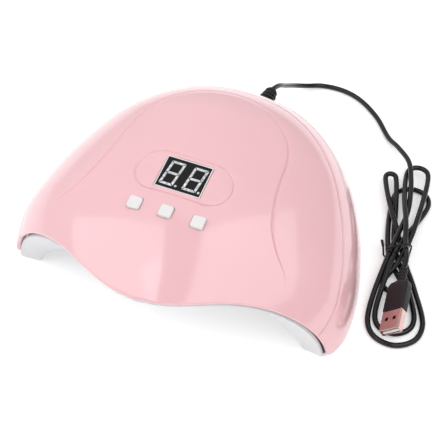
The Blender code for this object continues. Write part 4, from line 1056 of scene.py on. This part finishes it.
def back_wall_y(x, z):
    """Where the dome's back surface is, at a height above the shell's rim."""
    low, high = CROWN_Y, BACK_Y
    for _ in range(40):
        middle = (low + high) / 2
        low, high = (middle, high) if float(dome_z(x, middle)) > z else (low, middle)
    return low


def build_relief():
    """A ribbed, tapered sleeve whose ribs meet the curved back wall."""
    bore = CORD_RADIUS + 0.4
    length = RELIEF_END_Y - CORD_EXIT[1]
    profile = [(bore, -5.0), (3.7, -5.0), (3.7, 1.0)]
    for index in range(4):
        start = 2.0 + index * 3.2
        wide = 5.4 - index * 0.55
        neck = 3.6 - index * 0.25
        profile += [(wide - 0.25, start), (wide, start + 0.3), (wide, start + 1.5),
                    (wide - 0.25, start + 1.8), (neck, start + 2.05), (neck, start + 2.95)]
    profile += [(2.55, length - 0.2), (2.35, length), (bore, length)]
    verts, faces = ring_lathe(profile, 40)
    place = exit_frame()
    placed = []
    for vert in verts:
        point = place @ vert
        if math.hypot(vert.x, vert.y) > 3.75:
            wall = back_wall_y(point.x, point.z - SHELL_LIFT) + 0.35
            point.y = max(point.y, wall + 0.02 * (point.y - CORD_EXIT[1]))
        placed.append(point)
    sleeve = loose("strain_relief_sleeve", placed, faces)
    present(sleeve, "moulded_cord", "strain_relief", 40)


def waist_crossings(path):
    """Where the cord crosses the coil's waist, as (across, height)."""
    (wx, wy), (ax, ay) = BUNDLE_WAIST, BUNDLE_AXIS
    u = (path[:, 0] - wx) * ax + (path[:, 1] - wy) * ay
    v = (path[:, 0] - wx) * ay - (path[:, 1] - wy) * ax
    crossed = (u[:-1] * u[1:] <= 0) & (np.abs(v[:-1]) < 20)
    return [(v[i], path[i, 2]) for i in np.flatnonzero(crossed)]


def build_tie(path):
    """A coated wire pulled tight round the waist, its ends twisted together beside it."""
    crossings = waist_crossings(path)
    reach = CORD_RADIUS + TIE_RADIUS + TIE_SLACK
    ring = []
    steps = 90
    for step in range(steps + 1):
        turn = math.radians(150 - 335 * step / steps)
        c, s = math.cos(turn), math.sin(turn)
        v, z = max(crossings, key=lambda spot: spot[0] * c + spot[1] * s)
        height = max(z + reach * s, TIE_RADIUS + 0.05)
        ring.append(bundle_point(TIE_DRIFT * step / steps, v + reach * c, height))
    tail = [bundle_point(*spot) for spot in ((3.6, -7.6, 6.6), (6.3, -8.0, 6.2), (9.0, -8.3, 5.4))]
    tail = catmull_rom(tail, 9)
    parts = [tube(smooth_path(ring + [tail[0]], 0.8), TIE_RADIUS, 10)]
    for phase in (0.0, math.pi):
        strand = []
        for i, point in enumerate(tail):
            turn = phase + i * 0.9
            aside = np.array([math.cos(turn) * 0.96, math.cos(turn) * 0.28, math.sin(turn)])
            strand.append(point + TIE_TWIST * aside)
        parts.append(tube(strand, 0.42, 8))
    tie = loose("twist_tie_wire", *joined(parts))
    present(tie, "moulded_cord", "twist_tie", 60)


def rounded_section(width, depth, power, sides):
    return [(width / 2 * math.copysign(abs(c) ** (2 / power), c),
             depth / 2 * math.copysign(abs(s) ** (2 / power), s)) for c, s in circle(1.0, sides)]


def build_overmold(place):
    """Four ribs round the cord, then a flat grip with soft edges."""
    levels = []
    for index in range(4):
        start = index * RIB_PITCH
        levels += [(size, size, start + along) for size, along in RIB]
    end = PLUG_NECK + OVERMOLD_LENGTH
    levels += [(width, depth, PLUG_NECK + along) for width, depth, along in GRIP]
    levels += [(12.5, 6.0, end - 0.4), (12.4, 5.9, end - 0.1), (12.1, 5.5, end)]
    outlines = []
    for width, depth, along in levels:
        power = 2.0 + 4.5 * min(max((along - PLUG_NECK + 1.0) / 3.0, 0.0), 1.0)
        outlines.append((rounded_section(width, depth, power, 64), along))
    overmold = loose("usb_overmould_grip", *stacked(outlines, place))
    present(overmold, "moulded_cord", "usb_overmold", 38)


def build_usb_shell(place):
    start = PLUG_NECK + OVERMOLD_LENGTH + GAP
    end = start + SHELL_LENGTH
    width, depth = SHELL_SIZE
    full = rounded_rectangle(width, depth, 0.6, 5)
    slim = rounded_rectangle(width - 0.14, depth - 0.14, 0.53, 5)
    shell = loose("usb_metal_shell", *stacked([(full, start), (full, end - 0.08), (slim, end)], place))
    bore = rounded_rectangle(width - 2 * SHELL_WALL, depth - 2 * SHELL_WALL, 0.35, 4)
    cut(shell, prism(bore, start + 0.4, end + 1, place))
    across = place @ Matrix.Translation((0, 0, start + 5.6)) @ Matrix.Rotation(math.pi / 2, 4, "X")
    cut(shell, joined([prism(rounded_rectangle(2.0, 2.2, 0.2, 2, (x, 0.0)), -5.0, 5.0, across)
                       for x in (-2.4, 2.4)]))
    present(shell, "plated", "usb_shell")


# Carried CAD nodes.
CARRIED = {
    "board_green": ["control_board"],
    "black_plastic": ["controller_chip", *[f"switch_{name}" for name in BUTTONS],
                      *[f"plunger_{name}" for name in BUTTONS]],
    "button": ["lead_connector"],
    "steel": ["board_screw_1", "board_screw_2"],
    "board_white": [f"led_strip_{index}" for index in (1, 2, 3)],
    "tongue": ["usb_tongue"],
    "gold": [f"usb_contact_{index}" for index in (1, 2, 3, 4)],
}


def dress_carried_nodes():
    for look, names in CARRIED.items():
        for name in names:
            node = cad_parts[name]
            for slot in node.material_slots:
                slot.material = LOOKS[look]


# Stage.
def aim(made, at, target):
    made.location = (Vector(at) - BOX_CENTRE) * MM
    made.rotation_euler = (Vector(target) - Vector(at)).to_track_quat("-Z", "Y").to_euler()


def softbox(name, centre, size, turn, glow):
    """A level rectangular panel that shines down, as bright as a surface of the given radiance."""
    light = bpy.data.lights.new(name, "AREA")
    light.shape = "RECTANGLE"
    light.size, light.size_y = size[0] * MM, size[1] * MM
    light.energy = glow * math.pi * light.size * light.size_y
    panel = add_object(name, light)
    panel.location = (Vector(centre) - BOX_CENTRE) * MM
    panel.rotation_euler = (0.0, 0.0, math.radians(turn))


def build_sky():
    """A studio dome that is bright above and to the left, and falls off towards the right."""
    world = bpy.data.worlds.new("studio")
    world.use_nodes = True
    tree = world.node_tree
    where = add_node(tree, "ShaderNodeTexCoord").outputs["Generated"]
    along = add_node(tree, "ShaderNodeVectorMath", operation="DOT_PRODUCT", Vector=where)
    along.inputs[1].default_value = SKY_AXIS
    glow = add_node(tree, "ShaderNodeMapRange", Value=along.outputs["Value"], From_Min=-0.6, To_Min=0.14,
                    To_Max=0.9)
    set_values(tree.nodes["Background"], Color=(1.0, 1.0, 1.0, 1.0), Strength=glow.outputs["Result"])
    bpy.context.scene.world = world


def stage_sheet(name, corners, height, look):
    sheet = loose(name, [(x, y, height) for x, y in corners], [(0, 1, 2, 3)])
    sheet.data.materials.append(look)
    return sheet


def build_stage():
    """A glowing white floor, two softboxes, and a black cloth that darkens the gap between them."""
    paper = surface("white_paper", (0.95, 0.95, 0.95), 0.9, 40, 0.02, 0.005,
                    Emission_Color=(1.0, 1.0, 1.0, 1.0), Emission_Strength=0.3)
    square = [(FLOOR_REACH * x, FLOOR_REACH * y) for x, y in ((-1, -1), (1, -1), (1, 1), (-1, 1))]
    stage_sheet("floor", square, 0.0, paper)
    build_sky()
    softbox("front_left_panel", (-935, -370, 900), (1910, 660), 0, 1.48)
    softbox("right_panel", (773, -317, 905), (1600, 1500), 45, 1.35)
    strip = stage_sheet("gap_between_panels", STRIP_CORNERS, STRIP_HEIGHT,
                        surface("black_cloth", (0.01, 0.01, 0.01), 1.0, 800, 0.03, 0.05))
    strip.location = -BOX_CENTRE * MM
    strip.visible_camera = False


def build_camera():
    camera = bpy.data.cameras.new("camera")
    camera.lens = LENS
    camera.sensor_width = 36.0
    camera.clip_end = 50.0
    eye = add_object("camera", camera)
    aim(eye, CAMERA_AT, CAMERA_LOOKS_AT)
    bpy.context.scene.camera = eye
    bpy.context.scene.view_settings.view_transform = "Standard"


def build():
    build_shells()
    build_liner()
    build_display()
    build_buttons()
    build_leds()
    build_fasteners()
    path = settle(smooth_path(cord_controls(), CORD_SPACING), CORD_SPACING)
    build_cord(path)
    build_relief()
    build_tie(path)
    build_overmold(plug_frame())
    build_usb_shell(plug_frame())
    dress_carried_nodes()
    build_stage()
    build_camera()


build()
